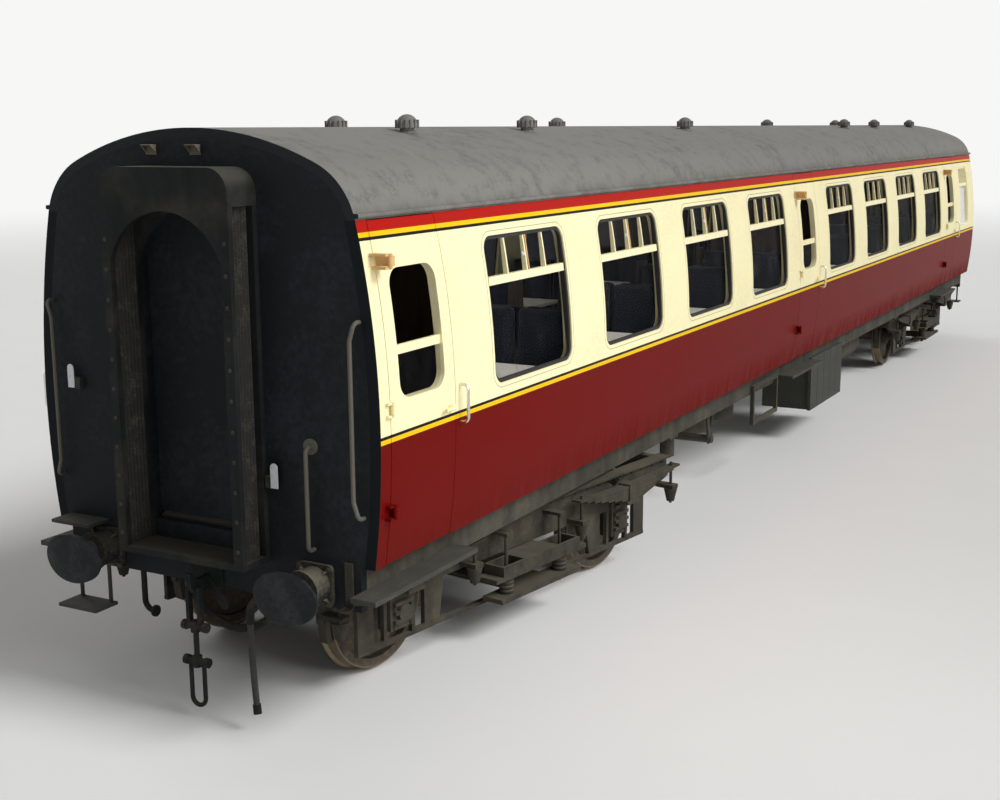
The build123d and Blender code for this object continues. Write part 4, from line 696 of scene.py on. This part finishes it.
# Operators, one for each piece or group of like pieces
class COACH_OT_set_stage(bpy.types.Operator):
    """Lay the pale floor, set the soft light and place the camera"""

    bl_idname = "coach.set_stage"
    bl_label = "Set stage"

    def execute(self, context):
        scene = context.scene
        scene.view_settings.view_transform = "Standard"
        self.lay_floor(scene)
        self.set_lamps(scene)
        scene.world = self.soft_world(scene.coach_stage, scene.coach_colours)
        self.place_camera(scene)
        return {"FINISHED"}

    def lay_floor(self, scene):
        """Lay a round floor sheet under the wheels."""
        bm = bmesh.new()
        bmesh.ops.create_circle(bm, cap_ends=True, radius=scene.coach_stage.floor_radius, segments=96)
        mesh = bpy.data.meshes.new("floor_sheet")
        bm.to_mesh(mesh)
        bm.free()
        mesh.materials.append(self.floor_finish(scene.coach_stage, scene.coach_colours))
        floor = bpy.data.objects.new("floor_sheet", mesh)
        scene.collection.objects.link(floor)

    @staticmethod
    def set_lamps(scene):
        """Set a broad key light, a weaker one from behind and a panel near the first door."""
        stage = scene.coach_stage
        suns = (("key_light", stage.sun, stage.sun_from), ("back_light", stage.back, stage.back_from))
        for name, strength, source in suns:
            sun = bpy.data.lights.new(name, "SUN")
            sun.energy = strength
            sun.angle = stage.sun_spread
            lamp = bpy.data.objects.new(name, sun)
            lamp.rotation_euler = Vector(source).to_track_quat("Z", "Y").to_euler()
            scene.collection.objects.link(lamp)
        side = bpy.data.lights.new("side_light", "AREA")
        side.energy = stage.lamp
        side.size = stage.lamp_size
        side.spread = stage.lamp_spread
        panel = bpy.data.objects.new("side_light", side)
        panel.location = stage.lamp_at
        panel.rotation_euler = (panel.location - Vector(stage.lamp_to)).to_track_quat("Z", "Y").to_euler()
        scene.collection.objects.link(panel)

    @staticmethod
    def place_camera(scene):
        """Place the camera by its point, yaw, pitch and roll."""
        stage = scene.coach_stage
        lens = bpy.data.cameras.new("coach_camera")
        lens.sensor_width = stage.sensor
        lens.lens = stage.lens
        camera = bpy.data.objects.new("coach_camera", lens)
        ahead = Vector((
            math.cos(stage.yaw) * math.cos(stage.pitch),
            math.sin(stage.yaw) * math.cos(stage.pitch),
            math.sin(stage.pitch),
        ))
        level = Vector((math.sin(stage.yaw), -math.cos(stage.yaw), 0))
        up = level.cross(ahead)
        right = level * math.cos(stage.roll) + up * math.sin(stage.roll)
        above = up * math.cos(stage.roll) - level * math.sin(stage.roll)
        turn = Matrix((right, above, -ahead)).transposed()
        camera.matrix_world = Matrix.Translation(stage.camera) @ turn.to_4x4()
        scene.collection.objects.link(camera)
        scene.camera = camera

    @staticmethod
    def floor_finish(stage, colours):
        """Pale matt floor that turns into plain backdrop far away; through the windows it glows flat in a
        dark colour, a painted shade.
        """
        finish = Finish("stage_floor", Specular_IOR_Level=0.1, Roughness=0.9)
        reach = (finish.x * finish.x + finish.y * finish.y) ** 0.5
        grain = finish.noise(0.8, detail=3)
        tint = finish.mix(colours.stage, tuple(0.97 * part for part in colours.stage), grain)
        surface = finish.wear(Base_Color=tint)
        glow = finish.node("ShaderNodeEmission", {}, {"Color": colours.stage, "Strength": 1.0})
        blend = finish.node("ShaderNodeMixShader", {}, {
            0: reach.step(stage.fade_start, stage.fade_end),
            1: Value(finish, finish.shader.outputs["BSDF"]),
            2: glow,
        })
        # Painted shade: seen through glass, the floor's lit surface is swapped for a flat dark glow
        rays = finish.node("ShaderNodeLightPath")
        through = rays["Transparent Depth"].step(0.5, 0.6)
        painted_window_shade = finish.node("ShaderNodeEmission", {}, {"Color": colours.painted_window_shade, "Strength": 1.0})
        window_shade_mix = finish.node("ShaderNodeMixShader", {}, {
            0: rays["Is Camera Ray"] * through, 1: blend, 2: painted_window_shade,
        })
        finish.feed(finish.tree.nodes["Material Output"].inputs["Surface"], window_shade_mix)
        return surface

    @staticmethod
    def soft_world(stage, colours):
        """Even light all round, seen as plain backdrop, and dim through the windows."""
        world = bpy.data.worlds.new("soft_world")
        world.use_nodes = True
        nodes, links = world.node_tree.nodes, world.node_tree.links
        light = nodes["Background"]
        light.inputs["Color"].default_value = (1, 1, 1, 1)
        light.inputs["Strength"].default_value = stage.sky
        backdrop = nodes.new("ShaderNodeBackground")
        backdrop.inputs["Color"].default_value = (*colours.stage, 1)
        rays = nodes.new("ShaderNodeLightPath")
        direct = nodes.new("ShaderNodeMath")
        direct.operation = "LESS_THAN"
        direct.inputs[1].default_value = 0.5
        links.new(rays.outputs["Transparent Depth"], direct.inputs[0])
        seen = direct.outputs[0]
        kinds = {"Is Camera Ray": "MULTIPLY", "Is Glossy Ray": "MAXIMUM", "Is Transmission Ray": "MAXIMUM"}
        for kind, operation in kinds.items():
            joined = nodes.new("ShaderNodeMath")
            joined.operation = operation
            links.new(seen, joined.inputs[0])
            links.new(rays.outputs[kind], joined.inputs[1])
            seen = joined.outputs[0]
        choose = nodes.new("ShaderNodeMixShader")
        links.new(seen, choose.inputs[0])
        links.new(light.outputs[0], choose.inputs[1])
        links.new(backdrop.outputs[0], choose.inputs[2])
        links.new(choose.outputs[0], nodes["World Output"].inputs["Surface"])
        return world


class COACH_OT_hang_hose(bpy.types.Operator):
    """Hang the brake hose from its pipe at the near end"""

    bl_idname = "coach.hang_hose"
    bl_label = "Hang brake hose"

    # The hose's route, from the pipe's mouth down to its end fitting
    route = (
        (-9.950, -0.425, 0.720),
        (-9.950, -0.425, 0.625),
        (-9.953, -0.430, 0.515),
        (-9.960, -0.443, 0.395),
        (-9.967, -0.455, 0.285),
        (-9.976, -0.470, 0.190),
    )

    def execute(self, context):
        hose = context.scene.coach_hose
        line = bpy.data.curves.new("brake_hose_line", "CURVE")
        line.dimensions = "3D"
        line.bevel_depth = hose.diameter / 2
        line.bevel_resolution = 6
        line.use_fill_caps = True
        spline = line.splines.new("NURBS")
        spline.points.add(len(self.route) - 1)
        for point, place in zip(spline.points, self.route):
            point.co = (*place, 1)
        spline.order_u = 3
        spline.use_endpoint_u = True
        spline.resolution_u = 12
        line.materials.append(dusty_rubber(context.scene.coach_colours))
        piece = bpy.data.objects.new("brake_hose_line", line)
        context.scene.collection.objects.link(piece)
        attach(piece, "coach")
        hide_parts("brake_hose")
        return {"FINISHED"}


class COACH_OT_paint_shell(bpy.types.Operator):
    """Paint sides, doors, roof and ends"""

    bl_idname = "coach.paint_shell"
    bl_label = "Paint shell"

    def execute(self, context):
        colours, lining = context.scene.coach_colours, context.scene.coach_lining
        livery = side_livery(colours, lining)
        coat(livery, "side_front", "side_back", *[n for n in like("door_") if not n.endswith("glass")])
        coat(roof_sheets(colours), "roof", "roof_ventilators")
        coat(end_black(colours), "end_walls", "headstocks", *like("end_door"))
        coat(cream_frames(colours), "window_frames")
        coat(clear_glass(colours), "window_glass", *[n for n in like("door_") if n.endswith("glass")])
        coat(polished(colours), "grab_handles")
        return {"FINISHED"}


class COACH_OT_finish_rooms(bpy.types.Operator):
    """Finish floor, partitions and tables"""

    bl_idname = "coach.finish_rooms"
    bl_label = "Finish rooms"

    floor_speck = (0.07, 0.062, 0.055)
    table_speck = (0.42, 0.40, 0.34)

    def execute(self, context):
        colours = context.scene.coach_colours
        coat(speckled("saloon_floor", colours.lino, self.floor_speck, 0.6, 0.45), "floor")
        coat(speckled("table_laminate", colours.laminate, self.table_speck, 0.5, 0.3), "tables")
        coat(varnished_panels(colours), "partitions")
        return {"FINISHED"}


class COACH_OT_finish_underframe(bpy.types.Operator):
    """Finish the underframe, gangways, buffing gear and equipment"""

    bl_idname = "coach.finish_underframe"
    bl_label = "Finish underframe"

    brake_dust = (0.120, 0.112, 0.085)

    def execute(self, context):
        colours = context.scene.coach_colours
        under = grimy_steel("underframe_steel", colours.underframe, colours.dust, colours.rust)
        coat(under, "solebars", "cross_bearers", "brake_cylinders", "reservoir", "brake_rigging")
        gangway = grimy_steel(
            "gangway_steel", colours.gangway, self.brake_dust, colours.rust,
            dust_share=0.5, rust_share=0.12, grain=14.0,
        )
        coat(gangway, "gangway_frames")
        gear = grimy_steel(
            "draw_steel", colours.gangway, colours.dust, colours.rust,
            dust_share=0.25, rust_share=0.7, grain=40.0,
        )
        coat(gear, "draw_hooks", "brake_pipes", "hose_fitting", *like("screw_coupling"))
        coat(buffer_steel(colours), "buffers")
        coat(planked_timber(colours), "footboards", "battery_boxes")
        return {"FINISHED"}


class COACH_OT_finish_bogies(bpy.types.Operator):
    """Finish bogie frames, springs and wheels"""

    bl_idname = "coach.finish_bogies"
    bl_label = "Finish bogies"

    def execute(self, context):
        colours = context.scene.coach_colours
        frames = grimy_steel("bogie_steel", colours.bogie, colours.dust, colours.rust, rust_share=0.5)
        springs = grimy_steel(
            "spring_steel", colours.bogie, colours.dust, colours.rust,
            dust_share=0.45, rust_share=0.8, grain=40.0,
        )
        coat(frames, *[n for n in like("bogie_") if not n.endswith("springs")])
        coat(springs, *[n for n in like("bogie_") if n.endswith("springs")])
        for name in like("wheelset_"):
            joint = JOINTS[name]
            turn = math.atan2(-joint["axis"][0], joint["axis"][1])
            coat(wheel_steel(f"{name}_steel", joint["pos_m"], turn, colours), name)
        return {"FINISHED"}


class COACH_OT_upholster_seats(bpy.types.Operator):
    """Stuff and cover the seats: one place is simulated, then set out in both saloons"""

    bl_idname = "coach.upholster_seats"
    bl_label = "Upholster seats"

    # Side outlines of the pads and the panel at the aisle, forward of the back's plane and up from the floor
    cushion = ((0.214, 0.306), (0.586, 0.306), (0.586, 0.404), (0.214, 0.404))
    back = ((0.014, 0.306), (0.186, 0.306), (0.172, 0.440), (0.106, 1.154), (0.014, 1.154))
    panel = (
        (0.002, 0.002), (0.428, 0.002), (0.428, 0.292), (0.598, 0.292),
        (0.598, 0.418), (0.188, 0.418), (0.118, 1.168), (0.002, 1.168),
    )

    # The box below a cushion: its ends forward of the back's plane, and its bottom and top
    box = ((0.002, 0.426), (0.001, 0.288))
    box_edge = 0.006
    panel_width = 0.022
    panel_slack = 0.002
    gap = 0.010

    # Cloth below the first height, or behind the second plane, is held to the seat's frame
    cushion_held = 0.320
    back_held = 0.030
    swelling_frames = 20

    # Where the seats stand: floor, edge at the aisle, inner wall, and first bench of each saloon
    floor = 1.270
    aisle = 0.250
    wall = 1.243
    saloons = {"near": -8.7125, "far": -0.2275}
    rows = WINDOWS + 1
    against_wall = 0.0215

    def execute(self, context):
        colours, seats = context.scene.coach_colours, context.scene.coach_seats
        width = (self.wall - self.aisle - self.panel_width) / 2
        pads = [
            self.stuffed(context, self.cushion, width, lambda place: place.z < self.cushion_held),
            self.stuffed(context, self.back, width, lambda place: place.x < self.back_held),
        ]
        weave, veneer = seat_weave(colours), varnished_panels(colours)
        for saloon, first in self.saloons.items():
            frames = bmesh.new()
            for side_name, side in SIDES.items():
                covers = bmesh.new()
                for origin, way in self.benches(first):
                    for step in range(2):
                        inner = self.aisle + self.panel_width + width * step
                        for pad in pads:
                            self.put(covers, pad, origin, way, side, inner)
                    self.build_frame(frames, origin, way, side)
                for face in covers.faces:
                    face.smooth = True
                piece = settle(covers, f"seat_covers_{saloon}_{side_name}", weave)
                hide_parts("seats")
            settle(frames, f"seat_frames_{saloon}", veneer)
        for pad in pads:
            bpy.data.meshes.remove(pad)
        return {"FINISHED"}

    def benches(self, first):
        """Back plane and facing of every bench along one side of a saloon."""
        for row in range(self.rows):
            for way in (-1, 1):
                if (row, way) in ((0, -1), (self.rows - 1, 1)):
                    continue
                offset = self.against_wall if row in (0, self.rows - 1) else 0
                yield first + WINDOW_PITCH * row + way * offset, way

    def put(self, bm, pad, origin, way, side, inner):
        """Copy a pad into its place in the coach."""
        before = len(bm.verts)
        bm.from_mesh(pad)
        bm.verts.ensure_lookup_table()
        place = Matrix(((way, 0, 0, origin), (0, side, 0, side * inner), (0, 0, 1, self.floor), (0, 0, 0, 1)))
        bmesh.ops.transform(bm, matrix=place, verts=bm.verts[before:])

    def build_frame(self, bm, origin, way, side):
        """The seat's box below the cushion and its panel at the aisle."""
        ends = sorted(origin + way * reach for reach in self.box[0])
        sides = sorted((side * (self.aisle + self.panel_width), side * self.wall))
        low, high = [self.floor + up for up in self.box[1]]
        block(bm, (ends[0], sides[0], low), (ends[1], sides[1], high), self.box_edge)
        corners = [(origin + way * x, side * self.aisle, self.floor + z) for x, z in self.panel]
        prism(bm, corners, (0, side * (self.panel_width - self.panel_slack), 0))

    def stuffed(self, context, outline, width, held):
        """A pad from its side outline: remeshed, swollen as cloth, capped and smoothed."""
        scene, seats = context.scene, context.scene.coach_seats
        bm = bmesh.new()
        prism(bm, [(x, self.gap, z) for x, z in outline], (0, width - 2 * self.gap, 0))
        bmesh.ops.recalc_face_normals(bm, faces=bm.faces)
        rough = bpy.data.meshes.new("pad")
        bm.to_mesh(rough)
        bm.free()
        pad = bpy.data.objects.new("pad", rough)
        scene.collection.objects.link(pad)
        grain = pad.modifiers.new("Grain", "REMESH")
        grain.mode = "VOXEL"
        grain.voxel_size = seats.voxel
        shape = self.shown(context, pad)
        start = [vertex.co.copy() for vertex in shape.vertices]
        group = pad.vertex_groups.new(name="held")
        group.add([vertex.index for vertex in shape.vertices if held(vertex.co)], 1.0, "REPLACE")
        cloth = pad.modifiers.new("Stuffing", "CLOTH").settings
        cloth.use_pressure = True
        cloth.uniform_pressure_force = seats.pressure
        cloth.effector_weights.gravity = 0
        cloth.vertex_group_mass = group.name
        for step in range(1, self.swelling_frames + 1):
            scene.frame_set(step)
        shape = self.shown(context, pad)
        for vertex, old in zip(shape.vertices, start):
            move = vertex.co - old
            if move.length > seats.swell:
                vertex.co = old + move.normalized() * seats.swell
        scene.frame_set(1)
        smooth = pad.modifiers.new("Smooth", "SUBSURF")
        smooth.levels = smooth.render_levels = 1
        shape = self.shown(context, pad)
        bpy.data.objects.remove(pad)
        return shape

    @staticmethod
    def shown(context, pad):
        """Turn what the pad's modifiers show into its own mesh, with no modifiers left."""
        context.view_layer.update()
        mesh = bpy.data.meshes.new_from_object(pad.evaluated_get(context.evaluated_depsgraph_get()))
        pad.modifiers.clear()
        pad.data = mesh
        return mesh


class COACH_OT_fit_bellows(bpy.types.Operator):
    """Fold the bellows between the gangways' frames"""

    bl_idname = "coach.fit_bellows"
    bl_label = "Fit bellows"

    # Along the coach, across it, and up
    reach = (9.872, 10.058)
    fold = (0.449, 0.476)
    height = (1.155, 3.356)
    folds = 6
    cloth = 0.003
    crease = 0.004

    def execute(self, context):
        rubber = dusty_rubber(context.scene.coach_colours)
        pitch = (self.reach[1] - self.reach[0]) / (2 * self.folds)
        for end_name, end in ENDS.items():
            for side_name, side in SIDES.items():
                bm = bmesh.new()
                rows = []
                for step in range(2 * self.folds + 1):
                    x, y = end * (self.reach[0] + pitch * step), side * self.fold[step % 2]
                    rows.append([bm.verts.new((x, y, z)) for z in self.height])
                for one, two in zip(rows, rows[1:]):
                    bm.faces.new((one[0], two[0], two[1], one[1]))
                creases = [line for line in bm.edges if len(line.link_faces) == 2]
                bmesh.ops.bevel(
                    bm, geom=creases, offset=self.crease, offset_type="OFFSET", affect="EDGES", segments=3,
                    profile=0.5, material=-1,
                )
                bmesh.ops.recalc_face_normals(bm, faces=bm.faces)
                bmesh.ops.solidify(bm, geom=bm.faces[:], thickness=self.cloth)
                piece = settle(bm, f"bellows_{end_name}_{side_name}", rubber)
                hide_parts("gangway_bellows")
        return {"FINISHED"}


class COACH_OT_fit_ends(bpy.types.Operator):
    """Fit lamp irons, blank plates, straps and bolts at both ends"""

    bl_idname = "coach.fit_ends"
    bl_label = "Fit ends"

    # Places are across the end, positive to the left as seen from outside, and up
    wall = 9.830
    sunk = 0.001
    edge = 0.002

    # Lamp irons: half width, thickness, reach, top and foot, and the cheeks' outer and lower corners
    lamp_irons = ((0.300, 3.700), (-0.056, 3.700))
    iron_half = 0.042
    iron_thick = 0.007
    iron_reach = 0.055
    iron_top = 0.019
    iron_foot = -0.045
    cheek_reach = 0.052
    cheek_foot = -0.040

    # Blank plates and the brackets that carry them
    plates = ((-0.600, 1.690), (1.080, 2.190))
    plate_half = 0.0275
    plate_tall = 0.080
    plate_thick = 0.006
    bracket_width = 0.075
    bracket_reach = 0.040
    bracket_up = (-0.085, -0.010)

    # A strap at one lower corner of each end, with a turned foot
    strap = (-1.150, -1.090)
    strap_thick = 0.012
    strap_up = (0.905, 1.190)
    foot_reach = 0.090
    foot_up = (0.893, 0.907)

    # Bolts at the buffers and rivets round the gangways; heads are a radius and a height
    buffers = (0.870, 1.022)
    buffer_bolts = (-0.112, 0.112)
    behind_buffer_heads = 10.100
    bolt_head = (0.015, 0.014)
    rivet_across = 0.476
    rivets_from = 10.600
    rivet_first = 1.240
    rivet_pitch = 0.190
    rivets = 11
    rivet_head = (0.010, 0.007)

    # Pale dust that lies on the lamp irons
    thick_dust = (0.30, 0.26, 0.20)

    def execute(self, context):
        colours = context.scene.coach_colours
        iron = grimy_steel("iron_black", colours.underframe, colours.dust, colours.rust, dust_share=0.5)
        dusty = grimy_steel(
            "iron_dusty", colours.dust, self.thick_dust, colours.rust, dust_share=0.8, rust_share=0.2
        )
        white = blank_plate(colours)
        for end_name, end in ENDS.items():
            dark, pale, lamps = bmesh.new(), bmesh.new(), bmesh.new()
            for y, z in self.lamp_irons:
                self.lamp_iron(lamps, end, y, z)
            for y, z in self.plates:
                inner = y + math.copysign(self.bracket_width, -y)
                up = [z + part for part in self.bracket_up]
                self.bar(dark, end, (0, self.bracket_reach), (inner, y), up)
                self.plate(pale, end, y, z)
            self.bar(dark, end, (0, self.strap_thick), self.strap, self.strap_up)
            self.bar(dark, end, (0, self.foot_reach), self.strap, self.foot_up)
            bolt_up(dark, "buffers", self.buffer_spots(end), (-end, 0, 0), *self.bolt_head)
            bolt_up(dark, "gangway_frames", self.rivet_spots(end), (-end, 0, 0), *self.rivet_head)
            settle(dark, f"end_irons_{end_name}", iron)
            settle(pale, f"blank_plates_{end_name}", white)
            settle(lamps, f"lamp_irons_{end_name}", dusty)
        return {"FINISHED"}

    def bar(self, bm, end, out, across, up):
        """A bar on an end wall; the far end is the near end turned round."""
        x = sorted(end * (self.wall + reach) for reach in out)
        y = sorted(-end * part for part in across)
        block(bm, (x[0], y[0], up[0]), (x[1], y[1], up[1]), self.edge)

    def lamp_iron(self, bm, end, y, z):
        """A shelf on a back plate, between two three-cornered cheeks."""
        half, thick = self.iron_half, self.iron_thick
        under = self.iron_top - thick
        across = (y - half, y + half)
        self.bar(bm, end, (-self.sunk, self.iron_reach), across, (z + under, z + self.iron_top))
        self.bar(bm, end, (-self.sunk, thick), across, (z + self.iron_foot, z + under + self.sunk))
        corners = (
            (-self.sunk, under + self.sunk),
            (self.cheek_reach, under + self.sunk),
            (-self.sunk, self.cheek_foot),
        )
        for edge in (-half, half - thick):
            points = [(end * (self.wall + out), -end * (y + edge), z + up) for out, up in corners]
            prism(bm, points, (0, -end * thick, 0))

    def plate(self, bm, end, y, z):
        """A blank plate with a rounded top."""
        half, tall = self.plate_half, self.plate_tall
        outline = [(-half, -tall), (half, -tall)]
        outline += [
            (half * math.cos(turn), tall - half + half * math.sin(turn))
            for turn in [math.pi * step / 12 for step in range(13)]
        ]
        x = end * (self.wall + self.bracket_reach)
        points = [(x, -end * (y + across), z + up) for across, up in outline]
        prism(bm, points, (end * self.plate_thick, 0, 0))

    def buffer_spots(self, end):
        """Where the lines of the buffers' bolts start, behind the heads."""
        across, up = self.buffers
        return [
            (end * self.behind_buffer_heads, side * across + dy, up + dz)
            for side in SIDES.values() for dy in self.buffer_bolts for dz in self.buffer_bolts
        ]

    def rivet_spots(self, end):
        """Where the lines of the gangways' rivets start, outside the face plates."""
        heights = [self.rivet_first + self.rivet_pitch * step for step in range(self.rivets)]
        x, y = end * self.rivets_from, self.rivet_across
        return [(x, side * y, z) for side in SIDES.values() for z in heights]


class COACH_OT_trim_roof(bpy.types.Operator):
    """Put the ribs round the roof's ventilators"""

    bl_idname = "coach.trim_roof"
    bl_label = "Trim roof"

    ribs = 14
    rib = (0.016, 0.010, 0.060)
    level = 0.52
    outside = 0.4

    def execute(self, context):
        tree = BVHTree.FromObject(NODES["roof_ventilators"], context.evaluated_depsgraph_get())
        bm = bmesh.new()
        for low, high in solid_boxes("roof_ventilators"):
            middle = (low + high) / 2
            middle.z = low.z + self.level * (high.z - low.z)
            for step in range(self.ribs):
                turn = Matrix.Rotation(2 * math.pi * step / self.ribs, 4, "Z")
                out = turn.to_3x3() @ Vector((1, 0, 0))
                place = tree.ray_cast(middle + out * self.outside, -out)[0]
                if place is not None:
                    shape = Matrix.Translation(place) @ turn @ Matrix.Diagonal((*self.rib, 1))
                    bmesh.ops.create_cube(bm, size=1, matrix=shape)
        settle(bm, "ventilator_ribs", roof_sheets(context.scene.coach_colours))
        return {"FINISHED"}


class COACH_OT_trim_toplights(bpy.types.Operator):
    """Put the wooden slides and their catches in the saloons' toplights"""

    bl_idname = "coach.trim_toplights"
    bl_label = "Trim toplights"

    # A slide: width, place along from the window's middle, depths behind the skin, and foot and head
    slide = 0.018
    offset = 0.034
    depth = (0.014, 0.029)
    up = (2.812, 3.066)

    # A catch: place along from its slide, depth behind the skin, height, and radius and height of its knob
    catch_along = -0.052
    catch_depth = 0.027
    catch_z = 2.930
    knob = (0.010, 0.014)

    def execute(self, context):
        colours = context.scene.coach_colours
        wood, bright = bmesh.new(), bmesh.new()
        (outer, inner), (low, high) = self.depth, self.up
        outline = ((outer, low), (outer, high), (inner, high), (inner, low))
        for start in WINDOW_STARTS:
            for window in range(WINDOWS):
                for side in SIDES.values():
                    x = start + WINDOW_PITCH * window + self.offset
                    corners = [(x - self.slide / 2, side * (side_skin(z) - d), z) for d, z in outline]
                    prism(wood, corners, (self.slide, 0, 0))
                    y = side * (side_skin(self.catch_z) - self.catch_depth)
                    bolt(bright, (x + self.catch_along, y, self.catch_z), (0, side, 0), *self.knob)
        settle(wood, "toplight_slides", tan_wood(colours))
        settle(bright, "toplight_catches", blank_plate(colours))
        return {"FINISHED"}


class COACH_OT_bolt_bogies(bpy.types.Operator):
    """Rivet the bogies' frames and bolt on the axleboxes' covers"""

    bl_idname = "coach.bolt_bogies"
    bl_label = "Bolt bogies"

    # Places are along the bogie from its pivot, and up; heads are a radius and a height
    axles = (-1.410, 1.410)
    axle_z = 0.457
    outside = 1.600
    top_first = -2.150
    top_pitch = 0.172
    top_rivets = 26
    top_z = 0.862
    flanks = (-0.245, -0.175, 0.175, 0.245)
    flank_heights = (0.34, 0.46, 0.58, 0.70)
    cover_bolts = ((-0.088, 0.088), (-0.072, 0.072))
    rivet_head = (0.011, 0.010)
    cover_head = (0.012, 0.014)

    def execute(self, context):
        colours = context.scene.coach_colours
        steel = grimy_steel(
            "bolt_steel", colours.bogie, colours.dust, colours.rust, rust_share=0.7, grain=60.0
        )
        for end_name in ENDS:
            wheels = [JOINTS[f"wheelset_{end_name}_{name}"] for name in ("outer", "inner")]
            middle = sum((Vector(joint["pos_m"]) for joint in wheels), Vector()) / 2
            axis = wheels[0]["axis"]
            turn = Matrix.Rotation(math.atan2(-axis[0], axis[1]), 4, "Z")
            place = Matrix.Translation((middle.x, middle.y, 0)) @ turn
            bm = bmesh.new()
            for side in SIDES.values():
                inwards = turn.to_3x3() @ Vector((0, -side, 0))
                groups = (
                    ("frame", self.frame_rivets(), self.rivet_head),
                    ("axleboxes", self.cover_spots(), self.cover_head),
                )
                for node, spots, head in groups:
                    starts = [place @ Vector((x, side * self.outside, z)) for x, z in spots]
                    bolt_up(bm, f"bogie_{end_name}_{node}", starts, inwards, *head)
            settle(bm, f"bogie_bolts_{end_name}", steel, wheels[0]["parent"])
        return {"FINISHED"}

    def frame_rivets(self):
        """A row along the frame's top, and two rows beside each horn guide."""
        top = [(self.top_first + self.top_pitch * step, self.top_z) for step in range(self.top_rivets)]
        feet = [
            (axle + flank, z) for axle in self.axles for flank in self.flanks for z in self.flank_heights
        ]
        return top + feet

    def cover_spots(self):
        """Four bolts round each axlebox's cover."""
        along, up = self.cover_bolts
        return [(axle + dx, self.axle_z + dz) for axle in self.axles for dx in along for dz in up]


class COACH_PT_panel(bpy.types.Panel):
    """Lists the coach's operators in the sidebar"""

    bl_label = "Coach"
    bl_idname = "COACH_PT_panel"
    bl_space_type = "VIEW_3D"
    bl_region_type = "UI"
    bl_category = "Coach"

    def draw(self, context):
        for operator in OPERATORS:
            self.layout.operator(operator.bl_idname)


OPERATORS = (
    COACH_OT_set_stage,
    COACH_OT_hang_hose,
    COACH_OT_paint_shell,
    COACH_OT_finish_rooms,
    COACH_OT_finish_underframe,
    COACH_OT_finish_bogies,
    COACH_OT_upholster_seats,
    COACH_OT_fit_bellows,
    COACH_OT_fit_ends,
    COACH_OT_trim_roof,
    COACH_OT_trim_toplights,
    COACH_OT_bolt_bogies,
)
SETTINGS = {
    "coach_colours": CoachColours,
    "coach_lining": CoachLining,
    "coach_seats": CoachSeats,
    "coach_hose": CoachHose,
    "coach_stage": CoachStage,
}


def register():
    for kind in (*SETTINGS.values(), *OPERATORS, COACH_PT_panel):
        bpy.utils.register_class(kind)
    for name, kind in SETTINGS.items():
        setattr(bpy.types.Scene, name, bpy.props.PointerProperty(type=kind))


def unregister():
    for name in SETTINGS:
        delattr(bpy.types.Scene, name)
    for kind in reversed((*SETTINGS.values(), *OPERATORS, COACH_PT_panel)):
        bpy.utils.unregister_class(kind)


def main():
    register()
    for operator in OPERATORS:
        group, name = operator.bl_idname.split(".")
        getattr(getattr(bpy.ops, group), name)()


if __name__ == "__main__":
    main()
